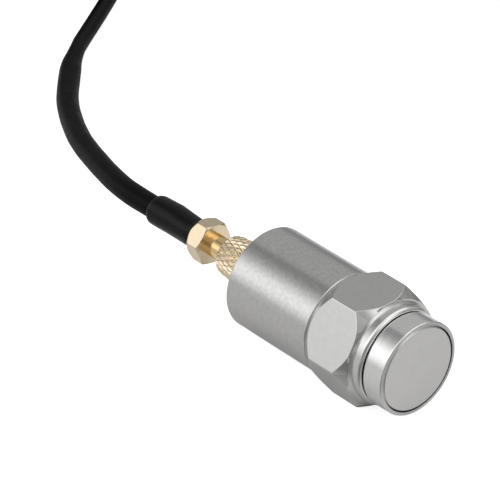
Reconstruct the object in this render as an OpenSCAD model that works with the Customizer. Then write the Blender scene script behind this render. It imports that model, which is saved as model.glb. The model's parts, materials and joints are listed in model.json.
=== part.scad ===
// Industrial vibration sensor on a magnetic foot, with its coaxial lead.
// The sensor lies on one flat of its hexagon: +Z is up, the magnet faces -Y and the lead leaves along +Y.
// The origin is on the surface it lies on, under the middle of the rigid sensor and plug.

/* [Magnetic foot] */
// Diameter of the steel pot
pot_d = 14.9; // [14.2:0.1:15.4]
// Length of the pot
pot_len = 3.7; // [3.4:0.05:5]
// Thickness of the pot's floor behind the magnet
pot_floor = 1.9; // [1.4:0.1:2.2]
// Diameter of the magnet
magnet_d = 13; // [12:0.1:13.4]
// Rounding of the magnet's edge
magnet_edge = 0.15; // [0.05:0.05:0.4]
// Width of the black resin ring round the magnet
resin_w = 0.3; // [0.2:0.05:0.4]
// Depth from the face down to the resin
resin_recess = 0.6; // [0.1:0.05:0.8]
// Chamfer on the pot's front rim
rim_chamfer = 0.25; // [0.1:0.05:0.3]
// Bevel on the pot's back edge
pot_back_bevel = 0.1; // [0.05:0.05:0.2]
// Diameter of the boss that the pot stands on
boss_d = 11.4; // [9:0.1:13]
// Length of the boss, which leaves a dark gap
boss_len = 0.25; // [0.1:0.05:1]

/* [Mounting stud] */
// Thread diameter of the stud
stud_d = 5; // [4:0.5:6]
// Reach of the stud into the sensor's base
stud_reach = 5; // [3:0.1:5.4]
// Width across the flats of the stud's socket
stud_socket_af = 2.5; // [2:0.1:2.6]
// Depth of the stud's socket
stud_socket_depth = 2; // [1:0.1:3]

/* [Sensor base] */
// Diameter of the narrow collar in front of the hexagon
collar_d = 15.7; // [15:0.1:16]
// Length of the collar
collar_len = 1.8; // [0.8:0.05:2]
// Bevel on the collar's front edge
collar_edge = 0.4; // [0.1:0.05:0.6]
// Width across the flats of the hexagon
hex_af = 17; // [16.6:0.1:19]
// Diameter at the small end of the front chamfer
hex_front_d = 16.4; // [16.1:0.1:16.5]
// Length of the hexagon's front chamfer
hex_front_chamfer = 2; // [1:0.1:2.5]
// Length over which the corners are whole
hex_land = 4.75; // [3:0.05:8]
// Length of the hexagon's back chamfer
hex_back_chamfer = 2.5; // [1:0.1:3]
// Diameter at the small end of the back chamfer
hex_back_d = 16.5; // [16:0.1:16.6]
// Width of the parting groove behind the hexagon
groove_w = 0.25; // [0.1:0.05:0.5]
// Diameter at the bottom of the parting groove
groove_d = 15.8; // [15.2:0.1:16]
// Length of the spigot inside the housing
spigot_len = 1.35; // [1:0.05:2]
// Spare depth of the stud's hole
stud_hole_spare = 0.5; // [0.2:0.1:1]

/* [Housing] */
// Diameter of the housing
body_d = 16.5; // [16:0.1:17]
// Length of the housing
body_len = 17.2; // [16.9:0.1:24]
// Wall of the housing
body_wall = 1; // [0.6:0.05:1]
// Thickness of the rear wall
rear_wall = 1.45; // [1:0.05:1.6]
// Rounding of the rear edge
body_edge_r = 0.2; // [0.1:0.1:1]
// Bevel on the front edge of the housing
body_front_edge = 0.12; // [0.05:0.01:0.3]

/* [Sensing element] */
// Diameter of the threaded post
post_d = 3; // [2.5:0.1:3.2]
// Step from the edge of the mass in to the ceramic rings
piezo_step = 0.2; // [0.1:0.05:1]
// Thickness of one ceramic ring
piezo_t = 1; // [0.6:0.05:1.1]
// Thickness of the contact disc between them
contact_t = 0.25; // [0.1:0.05:0.4]
// Reach of the contact disc's solder tab past the lead
tab_past = 0.05; // [0:0.05:0.1]
// Width of the solder tab
tab_w = 1.6; // [1:0.1:2.4]
// Wall of the insulating sleeve round the post
insulator_wall = 0.5; // [0.3:0.05:0.6]
// Gap between the seismic mass and the lead beside it
mass_gap = 0.15; // [0.1:0.05:0.6]
// Length of the seismic mass
mass_len = 4; // [3:0.1:4.2]
// Diameter of the spring washer
washer_d = 6.4; // [5.6:0.1:8]
// Thickness of the spring washer's sheet
washer_t = 0.35; // [0.2:0.05:0.4]
// Height of the spring washer when loaded
washer_h = 0.55; // [0.45:0.05:0.7]
// Width across the flats of the preload nut
nut_af = 5.5; // [5:0.1:6]
// Height of the preload nut
nut_h = 2.2; // [1.8:0.1:2.4]
// Length of post past the nut
post_past = 0.4; // [0.2:0.1:0.5]

/* [Shield and board] */
// Gap between the inner shield can and the housing
shield_gap = 0.75; // [0.5:0.05:1]
// Sheet thickness of the shield can
shield_t = 0.3; // [0.2:0.05:0.4]
// Height of the shield can
shield_h = 10.6; // [10.5:0.1:11]
// Hole in the shield can for the lead
shield_hole_d = 1; // [0.8:0.05:1.1]
// Thickness of the board carrier's floor
carrier_t = 0.7; // [0.5:0.05:0.8]
// Width of the ledge that the board rests on
carrier_ledge = 0.82; // [0.6:0.02:0.9]
// Wall of the rim that holds the board
carrier_rim = 0.35; // [0.25:0.05:0.5]
// Thickness of the circuit board
board_t = 0.8; // [0.6:0.1:1]
// Diameter of the thin leads
lead_d = 0.5; // [0.4:0.1:0.6]
// Gap between the signal lead and the shield can
lead_gap = 0.35; // [0.3:0.05:0.6]

/* [Jack] */
// Diameter of the jack's flange
flange_d = 9; // [7.6:0.1:10]
// Thickness of the jack's flange
flange_t = 0.7; // [0.5:0.05:1]
// Diameter of the jack's neck in the rear wall
neck_d = 6.4; // [6:0.1:7]
// Outer diameter of the jack's thread
thread_d = 5; // [4.8:0.1:5.2]
// Length of the jack's thread
thread_len = 4.85; // [4.4:0.05:6]
// Bore of the jack
jack_bore = 3.4; // [3.2:0.1:3.6]
// Depth of the jack's socket
socket_depth = 3.5; // [3:0.1:4]
// Outer diameter of the centre contact
contact_d = 1; // [0.9:0.05:1.1]

/* [Knurled coupling nut] */
// Diameter over the knurl
knurl_d = 6.95; // [6.6:0.05:8]
// Length of the coupling nut
knurl_len = 7.5; // [7:0.1:8]
// Diamonds round the nut
knurl_count = 24; // [18:1:32]
// Half diamonds along the nut
knurl_rows = 7; // [6:1:12]
// Depth of the knurl
knurl_depth = 0.2; // [0.15:0.05:0.3]
// Width of a diamond's flat crest, as a share of the diamond
knurl_crest = 0.35; // [0.2:0.05:0.6]
// Fall of the knurl towards both ends
knurl_crown = 0.3; // [0:0.05:0.35]
// Bevel at the mouths of the nut's bore
nut_mouth = 0.2; // [0.1:0.05:0.3]

/* [Gold plug] */
// Diameter of the plug's neck
plug_neck_d = 3.7; // [3.4:0.1:3.9]
// Length of neck in view behind the nut
neck_show = 3.8; // [2:0.1:6]
// Fillet between the neck and the small hexagon
neck_fillet = 0.1; // [0.05:0.05:0.5]
// Width across the flats of the small hexagon
small_hex_af = 6.35; // [6:0.05:7]
// Length of the small hexagon
small_hex_len = 2.95; // [2:0.05:4]
// Turned chamfer at the back of the small hexagon, along the axis
small_hex_chamfer = 0.85; // [0.4:0.05:1.2]
// Bevel across the front corners of the small hexagon
small_hex_bevel = 0.25; // [0.1:0.05:0.4]
// Turn of the small hexagon about the axis
small_hex_turn = 11.3; // [-30:0.1:30]
// Length of the crimp stem
stem_len = 5.4; // [4:0.1:8]
// Diameter of the crimp stem
stem_d = 2.5; // [2.3:0.1:2.8]
// Wall of the crimp ferrule
ferrule_wall = 0.35; // [0.25:0.05:0.4]
// Space for the braid between the stem and the ferrule
braid_gap = 0.3; // [0.1:0.05:0.3]

/* [Lead] */
// Outer diameter of the bare cable
cable_d = 2.7; // [2.4:0.1:2.8]
// Outer diameter of the long sleeve
sleeve_d = 3.7; // [3.5:0.05:3.8]
// Wall of the short thick shrink tube at the plug
shrink_wall = 0.42; // [0.3:0.02:0.6]
// Length of the short thick shrink tube
shrink_len = 11; // [8:0.1:12]
// Length of the taper at the end of the shrink tube
shrink_taper = 0.9; // [0.4:0.1:2]
// Mean diameter of the cable coil
coil_mean_d = 32.2; // [30:0.1:34]
// Layers of turns in the coil
coil_layers = 4; // [3:1:5]

/* [Bayonet plug] */
// Length of the rubber boot
boot_len = 14; // [12:0.5:18]
// Diameter of the boot at the cable
boot_tail_d = 4.6; // [4:0.1:5.4]
// Diameter of the boot at the plug
boot_front_d = 6.8; // [6.4:0.1:8]
// Outer diameter of the far crimp ferrule
far_ferrule_d = 4.8; // [4.4:0.1:5]
// Length of the far crimp ferrule
far_ferrule_len = 8.5; // [7:0.1:10]
// Diameter of the plug's body
far_body_d = 9.8; // [9.4:0.1:11]
// Length of the plug's body behind the collar
far_body_len = 6; // [5:0.1:9]
// Diameter of the hub that the collar turns on
hub_d = 9.2; // [9:0.1:9.3]
// Length of the hub
hub_len = 3.5; // [3.4:0.1:4]
// Outer diameter of the slotted contact sleeve
sleeve_contact_d = 8.1; // [8:0.05:8.2]
// Wall of the slotted contact sleeve
sleeve_contact_wall = 0.6; // [0.4:0.05:0.7]
// Length of the slotted contact sleeve
sleeve_contact_len = 9.5; // [8:0.1:9.6]
// Width of the slots in the contact sleeve
sleeve_slot_w = 0.5; // [0.3:0.05:0.8]
// Diameter of the bayonet collar
bayonet_d = 14.5; // [14:0.1:15]
// Length of the bayonet collar
bayonet_len = 13.5; // [13:0.1:15]
// Front bore of the bayonet collar
bayonet_bore = 9.8; // [9.7:0.05:9.9]
// Width of the bayonet channels
channel_w = 2.1; // [2:0.1:2.4]
// Depth of the bayonet channels into the wall
channel_depth = 0.8; // [0.6:0.05:1]
// Grip flutes round the collar
flute_count = 30; // [20:1:36]
// Diameter of the centre pin
pin_d = 1.37; // [1.3:0.01:1.4]

/* [Hidden] */
$fn = 72;

// Radial play of a piece that is pressed or bonded in place
seat_gap = 0.02;
// Radial play of a piece that slides or turns
run_gap = 0.06;
// End play of a piece that turns
end_play = 0.1;

// Flange that the coupling nut pulls on, and the pressed shank behind it
barrel_flange = 0.9;
barrel_shank_len = 3;

// Stations along the sensor's axis, counted from the magnet's face
s_collar = pot_len + boss_len;
s_hex = s_collar + collar_len;
s_land = s_hex + hex_front_chamfer;
s_back = s_land + hex_land;
s_groove = s_back + hex_back_chamfer;
s_body = s_groove + groove_w;
s_seat = s_body + spigot_len;
s_rear = s_body + body_len;
s_cavity = s_rear - rear_wall;
s_thread = s_rear + flange_t;
s_mouth = s_thread + thread_len;
s_socket = s_mouth - socket_depth;
s_barrel = s_mouth + barrel_flange;
s_contact_pin = s_cavity - 1.1;
s_nut = s_thread + 0.2;
s_nut_end = s_nut + knurl_len;
s_pin_end = s_barrel + barrel_shank_len + 1;
s_small_hex = s_nut_end + neck_show;
s_stem = s_small_hex + small_hex_len;
s_end = s_stem + stem_len;

// Stations of the sensing element
s_piezo_1 = s_seat;
s_contact = s_piezo_1 + piezo_t;
s_piezo_2 = s_contact + contact_t;
s_mass = s_piezo_2 + piezo_t;
s_washer = s_mass + mass_len;
s_preload = s_washer + washer_h;
s_post_end = s_preload + nut_h + post_past;
s_cap = s_seat + shield_h;
s_board = s_cap + carrier_t;
s_parts = s_board + board_t;

// Radii that several pieces share
magnet_len = pot_len - pot_floor;
pot_bore_r = magnet_d / 2 + resin_w;
stud_start = magnet_len + 0.2;
cavity_r = body_d / 2 - body_wall;
board_r = cavity_r - seat_gap * 3 - carrier_rim - seat_gap;
piezo_bore_r = post_d / 2 + insulator_wall + 2 * seat_gap;
shield_r = cavity_r - shield_gap;
lead_x = shield_r - shield_t - lead_gap - lead_d / 2;
mass_r = lead_x - lead_d / 2 - mass_gap;
piezo_r = mass_r - piezo_step;
barrel_flange_r = thread_d / 2;
barrel_nose_r = jack_bore / 2 - run_gap;
barrel_bore_r = barrel_nose_r - 0.4;
barrel_shank_r = plug_neck_d / 2 - 0.45;
socket_insulator_r = barrel_bore_r - 0.1;
socket_insulator_len = socket_depth - 1.1;
socket_hole_d = contact_d - 0.4;
plug_pin_r = socket_hole_d / 2 - 0.02;
plug_insulator_start = s_mouth - 1;
stem_bore_r = stem_d / 2 - 0.3;
ferrule_r = stem_d / 2 + braid_gap + ferrule_wall;
shrink_r = ferrule_r + seat_gap + shrink_wall;
sleeve_r = sleeve_d / 2;
cable_r = cable_d / 2;

// Height of the axis above the surface, and the middle of the rigid sensor and plug
axis_z = hex_af / 2;
mid_s = s_end / 2;

// Points of the sleeve, from the plug to where the bare cable comes out
sleeve_route = [[0, s_end - mid_s, axis_z], [0, 32.5, 8.5], [0.5, 39.5, 8.1], [2, 45.5, 7.3], [4.5, 52.5, 6.1],
    [8, 61, 4.6], [12, 68.5, 3.3], [16.5, 75.5, 2.4], [21.5, 81.5, 2], [25.5, 85.8, 1.85], [27.8, 87.8, 1.85],
    [29, 88.8, 1.85]];
// Points of the bare cable, along the surface to the coil
cable_route = [[29, 88.8, 1.85], [31.5, 90.8, 1.6], [34.5, 92.9, 1.4], [39.5, 96.2, 1.35], [45, 99.9, 1.35],
    [51, 104.1, 1.35], [57, 108.3, 1.35], [62.9, 112.5, 1.35]];
// Points of the cable's tail, from the top of the coil into the bayonet plug
tail_route = [[51, 150.3, 9.45], [46, 150.3, 9.2], [41, 150.3, 8.4], [37, 150.3, 7.6], [33, 150.3, 7.25],
    [28, 150.3, 7.25], [23.5, 150.3, 7.25]];
// Middle of the coil on the surface, and its section
coil_at = [51, 129.5];
coil_h = coil_layers * cable_d;
coil_w = 12;

// The bayonet plug lies on its collar, with its axis along -X from the boot's tail
plug_at = [33, 150.3, bayonet_d / 2];

// Stations along the bayonet plug, counted from the boot's tail
t_ferrule = 9;
t_stem = t_ferrule + 0.5;
t_body = t_ferrule + far_ferrule_len;
t_hub = t_body + far_body_len;
t_hub_end = t_hub + hub_len;
t_tip = t_hub_end + sleeve_contact_len;
t_collar = t_hub + 2 * end_play;
collar_wall = 1.5;
t_chamber = t_collar + collar_wall;
t_collar_end = t_collar + bayonet_len;
wave_t = 0.25;
wave_h = 0.6;
t_wave = t_chamber + end_play;
t_snap = t_wave + wave_h;
snap_t = 0.6;
t_insulator = t_body + 3;
t_pin = t_insulator - 1.2;
gasket_len = 0.9;

// Radii of the bayonet plug
hub_r = hub_d / 2;
chamber_r = bayonet_d / 2 - 1.35;
contact_r = sleeve_contact_d / 2;
contact_bore_r = contact_r - sleeve_contact_wall;
far_ferrule_r = far_ferrule_d / 2;
far_ferrule_bore_r = far_ferrule_r - ferrule_wall;
far_stem_r = far_ferrule_bore_r - 0.7;
far_stem_bore_r = far_stem_r - 0.4;
snap_groove_r = hub_r - 0.4;
pin_r = pin_d / 2;

// Placing

// Puts a piece on the sensor's axis, its own +Z towards the lead
module on_axis(s = 0) {
    translate([0, s - mid_s, axis_z])
        rotate([-90, 0, 0])
            children();
}

// Puts a piece on the bayonet plug's axis, its own +Z towards the plug's mouth
module on_plug(t = 0) {
    translate(plug_at - [t, 0, 0])
        rotate([0, -90, 0])
            children();
}

// Shapes

// Tube or rod along Z, from z0 to z1
module tube(r, bore, z0, z1) {
    translate([0, 0, z0])
        difference() {
            cylinder(r = r, h = z1 - z0);
            if (bore > 0)
                translate([0, 0, -1])
                    cylinder(r = bore, h = z1 - z0 + 2);
        }
}

// Round solid along Z from a half outline of [radius, z] points
module turned(points) {
    rotate_extrude()
        polygon(points);
}

// Hexagonal prism along Z with flats facing along Y
module hexagon(af, z0, z1) {
    translate([0, 0, z0])
        cylinder(r = af / 2 / cos(30), h = z1 - z0, $fn = 6);
}

// Quarter round as [radius, z] points, about a centre, between two angles
function quarter(cr, cz, r, a0, a1, steps = 4) =
    [for (i = [0:steps]) [cr + r * cos(a0 + (a1 - a0) * i / steps), cz + r * sin(a0 + (a1 - a0) * i / steps)]];

// Vector helpers for the swept cable
function unit(v) = v / norm(v);
function heading(p, i) = unit(p[min(i + 1, len(p) - 1)] - p[max(i - 1, 0)]);
function sideways(d) = unit(cross(d, [0, 0, 1]));

// One ring of the sweep: eight corners round a route point, square to its heading
function sweep_ring(p, i, r, sides) =
    let (d = heading(p, i), a = sideways(d), b = cross(a, d))
    [for (k = [0:sides - 1]) p[i] + r * (cos(360 * k / sides) * a + sin(360 * k / sides) * b)];

// Cable or sleeve swept along a route, with one radius for each point
module swept(p, radii, sides = 8) {
    rings = len(p);
    corners = [for (i = [0:rings - 1]) each sweep_ring(p, i, radii[i], sides)];
    skin = [for (i = [0:rings - 2], k = [0:sides - 1])
        let (a = i * sides + k, b = i * sides + (k + 1) % sides)
        each [[a, b, b + sides], [a, b + sides, a + sides]]];
    first = [for (k = [1:sides - 2]) [0, k + 1, k]];
    last = [for (k = [1:sides - 2]) [0, k, k + 1] + [1, 1, 1] * (rings - 1) * sides];
    polyhedron(corners, concat(skin, first, last));
}

// Diamond knurl: crossed helical grooves leave flat-topped diamonds on a slightly crowned cylinder
function crown_at(z) = knurl_crown * pow(2 * z / knurl_len - 1, 2);
function knurl_point(turns, row, r) =
    let (z = knurl_len * row / knurl_rows, a = 360 * turns / knurl_count)
    [(r - crown_at(z)) * cos(a), (r - crown_at(z)) * sin(a), z];

module knurled_blank() {
    root_r = knurl_d / 2 - knurl_depth;
    crest_r = knurl_d / 2;
    n = knurl_count;
    rows = knurl_rows;
    // Groove crossings, n in each row, every other row turned by half a diamond
    crossings = [for (j = [0:rows], i = [0:n - 1]) knurl_point(i + (j % 2) / 2, j, root_r)];
    // Four crest corners on each diamond: left, below, right, above
    crests = [for (j = [1:rows - 1], i = [0:n - 1])
        let (c = i + 0.5 + (j % 2) / 2, k = knurl_crest / 2)
        each [knurl_point(c - k, j, crest_r), knurl_point(c, j - 2 * k, crest_r),
            knurl_point(c + k, j, crest_r), knurl_point(c, j + 2 * k, crest_r)]];
    hubs = [[0, 0, 0], [0, 0, knurl_len]];
    crest_0 = len(crossings);
    hub_0 = crest_0 + len(crests);
    diamonds = [for (j = [1:rows - 1], i = [0:n - 1])
        let (
            shift = (j % 2 == 0) ? 0 : 1,
            left = j * n + i,
            right = j * n + (i + 1) % n,
            below = (j - 1) * n + (i + shift) % n,
            above = (j + 1) * n + (i + shift) % n,
            q = crest_0 + 4 * ((j - 1) * n + i)
        )
        each [[left, q, q + 1], [left, q + 1, below], [below, q + 1, q + 2], [below, q + 2, right],
            [right, q + 2, q + 3], [right, q + 3, above], [above, q + 3, q], [above, q, left],
            [q, q + 3, q + 1], [q + 1, q + 3, q + 2]]];
    front = [for (i = [0:n - 1]) each [[i, n + i, (i + 1) % n], [hub_0, i, (i + 1) % n]]];
    back_shift = (rows % 2 == 0) ? 0 : 1;
    back = [for (i = [0:n - 1])
        let (a = rows * n + i, b = rows * n + (i + 1) % n)
        each [[a, b, (rows - 1) * n + (i + back_shift) % n], [hub_0 + 1, b, a]]];
    polyhedron(concat(crossings, crests, hubs), concat(diamonds, front, back));
}

// Magnetic foot

module magnet_disc() {
    color([0.70, 0.70, 0.70])
        on_axis()
            turned(concat(
                [[0, magnet_len], [0, 0]],
                quarter(magnet_d / 2 - magnet_edge, magnet_edge, magnet_edge, -90, 0),
                [[magnet_d / 2, magnet_len]]));
}

module resin_ring() {
    color([0.03, 0.03, 0.03])
        on_axis()
            tube(pot_bore_r - seat_gap, magnet_d / 2 + seat_gap, resin_recess, magnet_len);
}

module magnet_pot() {
    color([0.74, 0.74, 0.73])
        on_axis()
            difference() {
                turned([
                    [0, 0], [pot_d / 2 - rim_chamfer, 0], [pot_d / 2, rim_chamfer],
                    [pot_d / 2, pot_len - pot_back_bevel], [pot_d / 2 - pot_back_bevel, pot_len],
                    [boss_d / 2, pot_len], [boss_d / 2, s_collar], [0, s_collar]]);
                tube(pot_bore_r, 0, -1, magnet_len);
                tube(stud_d / 2 + seat_gap, 0, 1, s_collar + 1);
            }
}

module mounting_stud() {
    stud_end = s_collar + stud_reach;
    bevel = 0.4;
    color([0.45, 0.45, 0.46])
        on_axis()
            difference() {
                turned([
                    [0, stud_start], [stud_d / 2 - bevel, stud_start], [stud_d / 2, stud_start + bevel],
                    [stud_d / 2, stud_end - bevel], [stud_d / 2 - bevel, stud_end], [0, stud_end]]);
                hexagon(stud_socket_af, stud_end - stud_socket_depth, stud_end + 1);
            }
}

// Sensor base: collar, hexagon, parting groove, spigot and threaded post in one piece

module sensor_base() {
    corner_r = hex_af / 2 / cos(30);
    color([0.69, 0.69, 0.68])
        on_axis()
            difference() {
                union() {
                    turned([
                        [0, s_collar], [collar_d / 2 - collar_edge, s_collar],
                        [collar_d / 2, s_collar + collar_edge], [collar_d / 2, s_hex + 0.1], [0, s_hex + 0.1]]);
                    intersection() {
                        hexagon(hex_af, s_hex, s_groove);
                        turned([
                            [0, s_hex], [hex_front_d / 2, s_hex], [corner_r, s_land], [corner_r + 1, s_land],
                            [corner_r + 1, s_back], [corner_r, s_back], [hex_back_d / 2, s_groove],
                            [0, s_groove]]);
                    }
                    tube(groove_d / 2, 0, s_groove - 0.1, s_body);
                    tube(cavity_r - seat_gap, 0, s_body - 0.1, s_seat);
                    turned([
                        [0, s_seat - 0.1], [post_d / 2, s_seat - 0.1], [post_d / 2, s_post_end - 0.3],
                        [post_d / 2 - 0.3, s_post_end], [0, s_post_end]]);
                }
                tube(stud_d / 2 + seat_gap, 0, s_collar - 1, s_collar + stud_reach + stud_hole_spare);
            }
}

// Sensing element: two ceramic rings and a contact disc clamped under a heavy mass

module post_insulator() {
    color([0.93, 0.91, 0.85])
        on_axis()
            tube(post_d / 2 + seat_gap + insulator_wall, post_d / 2 + seat_gap, s_seat, s_mass);
}

module piezo_ring(s) {
    on_axis()
        tube(piezo_r, piezo_bore_r, s, s + piezo_t);
}

module lower_piezo_ring() {
    color([0.87, 0.84, 0.74])
        piezo_ring(s_piezo_1);
}

module upper_piezo_ring() {
    color([0.87, 0.84, 0.74])
        piezo_ring(s_piezo_2);
}

module contact_disc() {
    color([0.80, 0.62, 0.35])
        on_axis()
            difference() {
                union() {
                    tube(piezo_r, 0, s_contact, s_piezo_2);
                    translate([0, -tab_w / 2, s_contact])
                        cube([lead_x + lead_d / 2 + tab_past, tab_w, contact_t]);
                }
                tube(piezo_bore_r, 0, s_contact - 1, s_piezo_2 + 1);
            }
}

module seismic_mass() {
    bevel = 0.3;
    color([0.42, 0.42, 0.44])
        on_axis()
            difference() {
                turned([
                    [0, s_mass], [mass_r - bevel, s_mass], [mass_r, s_mass + bevel],
                    [mass_r, s_washer - bevel], [mass_r - bevel, s_washer], [0, s_washer]]);
                tube(post_d / 2 + run_gap, 0, s_mass - 1, s_washer + 1);
            }
}

module spring_washer() {
    bore_r = post_d / 2 + run_gap;
    color([0.50, 0.50, 0.52])
        on_axis()
            turned([
                [bore_r, s_preload - washer_t], [washer_d / 2, s_washer], [washer_d / 2, s_washer + washer_t],
                [bore_r, s_preload]]);
}

module preload_nut() {
    corner_r = nut_af / 2 / cos(30);
    bevel = 0.35;
    color([0.66, 0.66, 0.67])
        on_axis()
            difference() {
                intersection() {
                    hexagon(nut_af, s_preload, s_preload + nut_h);
                    turned([
                        [0, s_preload], [corner_r, s_preload], [corner_r, s_preload + nut_h - bevel],
                        [corner_r - 2 * bevel, s_preload + nut_h], [0, s_preload + nut_h]]);
                }
                tube(post_d / 2 + seat_gap, 0, s_preload - 1, s_preload + nut_h + 1);
            }
}

// Shield can, board and leads

module shield_can() {
    color([0.78, 0.72, 0.55])
        on_axis()
            difference() {
                tube(shield_r, 0, s_seat, s_cap);
                tube(shield_r - shield_t, 0, s_seat - 1, s_cap - shield_t);
                translate([lead_x, 0, 0])
                    tube(shield_hole_d / 2, 0, s_cap - 1, s_cap + 1);
            }
}

module board_carrier() {
    rim_r = cavity_r - seat_gap * 3;
    color([0.88, 0.87, 0.82])
        on_axis()
            difference() {
                tube(rim_r, 0, s_cap, s_parts + 0.3);
                tube(board_r - carrier_ledge, 0, s_cap - 1, s_board + 1);
                tube(rim_r - carrier_rim, 0, s_board, s_parts + 1);
            }
}

module circuit_board() {
    hole_r = lead_d / 2 + 0.05;
    color([0.05, 0.30, 0.16])
        on_axis()
            difference() {
                tube(board_r, 0, s_board, s_parts);
                translate([lead_x, 0, 0])
                    tube(hole_r, 0, s_board - 1, s_parts + 1);
            }
}

// Amplifier chip with its legs, and the small parts round it, each set in from the board's edge
module board_parts() {
    chip = [3, 3.2, 0.9];
    leg = [0.4, 0.7, 0.5];
    leg_pitch = 1;
    small_part = [1.6, 0.8, 0.6];
    small_pitch = 2.2;
    big_part = [1.2, 2, 0.9];
    chip_inset = 2.6;
    small_inset = 2;
    big_inset = 2.2;
    color([0.08, 0.08, 0.09])
        on_axis(s_parts) {
            translate([chip_inset - board_r, -chip[1] / 2, 0])
                cube(chip);
            for (i = [-1:1])
                for (side = [-1, 1])
                    translate([chip_inset - board_r + chip[0] / 2 + i * leg_pitch - leg[0] / 2,
                        side * (chip[1] / 2 + leg[1] / 2) - leg[1] / 2, 0])
                        cube(leg);
            for (i = [-1:1])
                translate([i * small_pitch - small_part[0] / 2, board_r - small_inset - small_part[1], 0])
                    cube(small_part);
            translate([leg_pitch, big_inset - board_r, 0])
                cube(big_part);
        }
}

// Lead from the contact disc's tab, up through the shield to the board
module signal_lead() {
    color([0.80, 0.20, 0.12])
        on_axis()
            translate([lead_x, 0, 0])
                tube(lead_d / 2, 0, s_piezo_2, s_parts + 0.2);
}

// Lead from the board to the jack's centre contact
module output_lead() {
    color([0.90, 0.90, 0.92])
        on_axis()
            tube(lead_d / 2, 0, s_parts, s_contact_pin);
}

// Housing and jack

module sensor_housing() {
    color([0.69, 0.69, 0.68])
        on_axis()
            difference() {
                turned(concat(
                    [[0, s_body], [body_d / 2 - body_front_edge, s_body],
                        [body_d / 2, s_body + body_front_edge]],
                    quarter(body_d / 2 - body_edge_r, s_rear - body_edge_r, body_edge_r, 0, 90),
                    [[0, s_rear]]));
                tube(cavity_r, 0, s_body - 1, s_cavity);
                tube(neck_d / 2 + seat_gap, 0, s_cavity - 1, s_rear + 1);
            }
}

module jack_body() {
    bevel = 0.3;
    color([0.80, 0.68, 0.42])
        on_axis()
            difference() {
                turned([
                    [0, s_cavity - 0.4], [neck_d / 2, s_cavity - 0.4], [neck_d / 2, s_rear],
                    [flange_d / 2, s_rear], [flange_d / 2, s_thread - 0.15], [flange_d / 2 - 0.15, s_thread],
                    [thread_d / 2, s_thread], [thread_d / 2, s_mouth - bevel],
                    [thread_d / 2 - bevel, s_mouth], [0, s_mouth]]);
                tube(jack_bore / 2, 0, s_cavity - 2, s_mouth + 1);
            }
}

module jack_insulator() {
    color([0.93, 0.93, 0.92])
        on_axis()
            difference() {
                union() {
                    tube(jack_bore / 2 - seat_gap, 0, s_cavity - 0.4, s_socket);
                    tube(socket_insulator_r, 0, s_socket - 0.1, s_socket + socket_insulator_len);
                }
                tube(contact_d / 2 + seat_gap, 0, s_cavity - 2, s_mouth);
            }
}

// Centre contact with its socket towards the plug
module jack_contact() {
    socket_hole_len = 2.6;
    contact_end = s_socket + socket_insulator_len;
    color([0.86, 0.70, 0.36])
        on_axis()
            difference() {
                tube(contact_d / 2, 0, s_contact_pin, contact_end);
                tube(socket_hole_d / 2, 0, contact_end - socket_hole_len, contact_end + 1);
            }
}

// Gold plug

// Knurled nut that turns on the plug's neck and screws onto the jack
module coupling_nut() {
    bore_r = thread_d / 2 + run_gap;
    hole_r = plug_neck_d / 2 + run_gap;
    shoulder = s_barrel + end_play - s_nut;
    color([0.90, 0.78, 0.52])
        on_axis(s_nut)
            difference() {
                knurled_blank();
                turned([
                    [0, -1], [bore_r + nut_mouth + 1, -1], [bore_r, nut_mouth], [bore_r, shoulder],
                    [hole_r, shoulder], [hole_r, knurl_len - nut_mouth], [hole_r + nut_mouth + 1, knurl_len + 1],
                    [0, knurl_len + 1]]);
            }
}

// Front sleeve of the plug: a nose in the jack, a flange that the nut pulls on, and a pressed shank
module plug_barrel() {
    color([0.88, 0.75, 0.45])
        on_axis()
            difference() {
                turned([
                    [0, s_socket + 0.2], [barrel_nose_r, s_socket + 0.2], [barrel_nose_r, s_mouth],
                    [barrel_flange_r, s_mouth], [barrel_flange_r, s_barrel], [barrel_shank_r, s_barrel],
                    [barrel_shank_r, s_barrel + barrel_shank_len], [0, s_barrel + barrel_shank_len]]);
                tube(barrel_bore_r, 0, s_socket - 1, s_barrel + barrel_shank_len + 1);
            }
}

// Neck, small hexagon and crimp stem in one turned piece
module plug_body() {
    neck_r = plug_neck_d / 2;
    corner_r = small_hex_af / 2 / cos(30);
    color([0.90, 0.78, 0.52])
        on_axis()
            difference() {
                union() {
                    turned(concat(
                        [[0, s_barrel], [neck_r, s_barrel]],
                        quarter(neck_r + neck_fillet, s_small_hex - neck_fillet, neck_fillet, 180, 90),
                        [[neck_r + neck_fillet, s_small_hex + 0.1], [0, s_small_hex + 0.1]]));
                    rotate([0, 0, small_hex_turn])
                        intersection() {
                            hexagon(small_hex_af, s_small_hex, s_stem);
                            turned([
                                [0, s_small_hex], [corner_r - small_hex_bevel, s_small_hex],
                                [corner_r, s_small_hex + small_hex_bevel / 2],
                                [corner_r, s_stem - small_hex_chamfer],
                                [corner_r - 0.7 * small_hex_chamfer, s_stem], [0, s_stem]]);
                        }
                    tube(stem_d / 2, 0, s_stem - 0.1, s_end);
                }
                tube(barrel_shank_r + seat_gap, 0, s_barrel - 1, s_barrel + barrel_shank_len + 0.1);
                tube(stem_bore_r, 0, s_barrel, s_end + 1);
            }
}

module plug_insulator() {
    color([0.94, 0.94, 0.93])
        on_axis()
            tube(barrel_bore_r - seat_gap, plug_pin_r + seat_gap, plug_insulator_start,
                s_barrel + barrel_shank_len);
}

module plug_pin() {
    tip = 0.2;
    pin_start = plug_insulator_start - 2.2;
    color([0.88, 0.74, 0.40])
        on_axis()
            turned([
                [0, pin_start], [plug_pin_r - tip / 2, pin_start], [plug_pin_r, pin_start + tip],
                [plug_pin_r, s_pin_end], [0, s_pin_end]]);
}

// Insulated core of the cable inside the stem
module plug_cable_core() {
    color([0.92, 0.92, 0.90])
        on_axis()
            tube(stem_bore_r - seat_gap, 0, s_pin_end, s_end);
}

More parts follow.
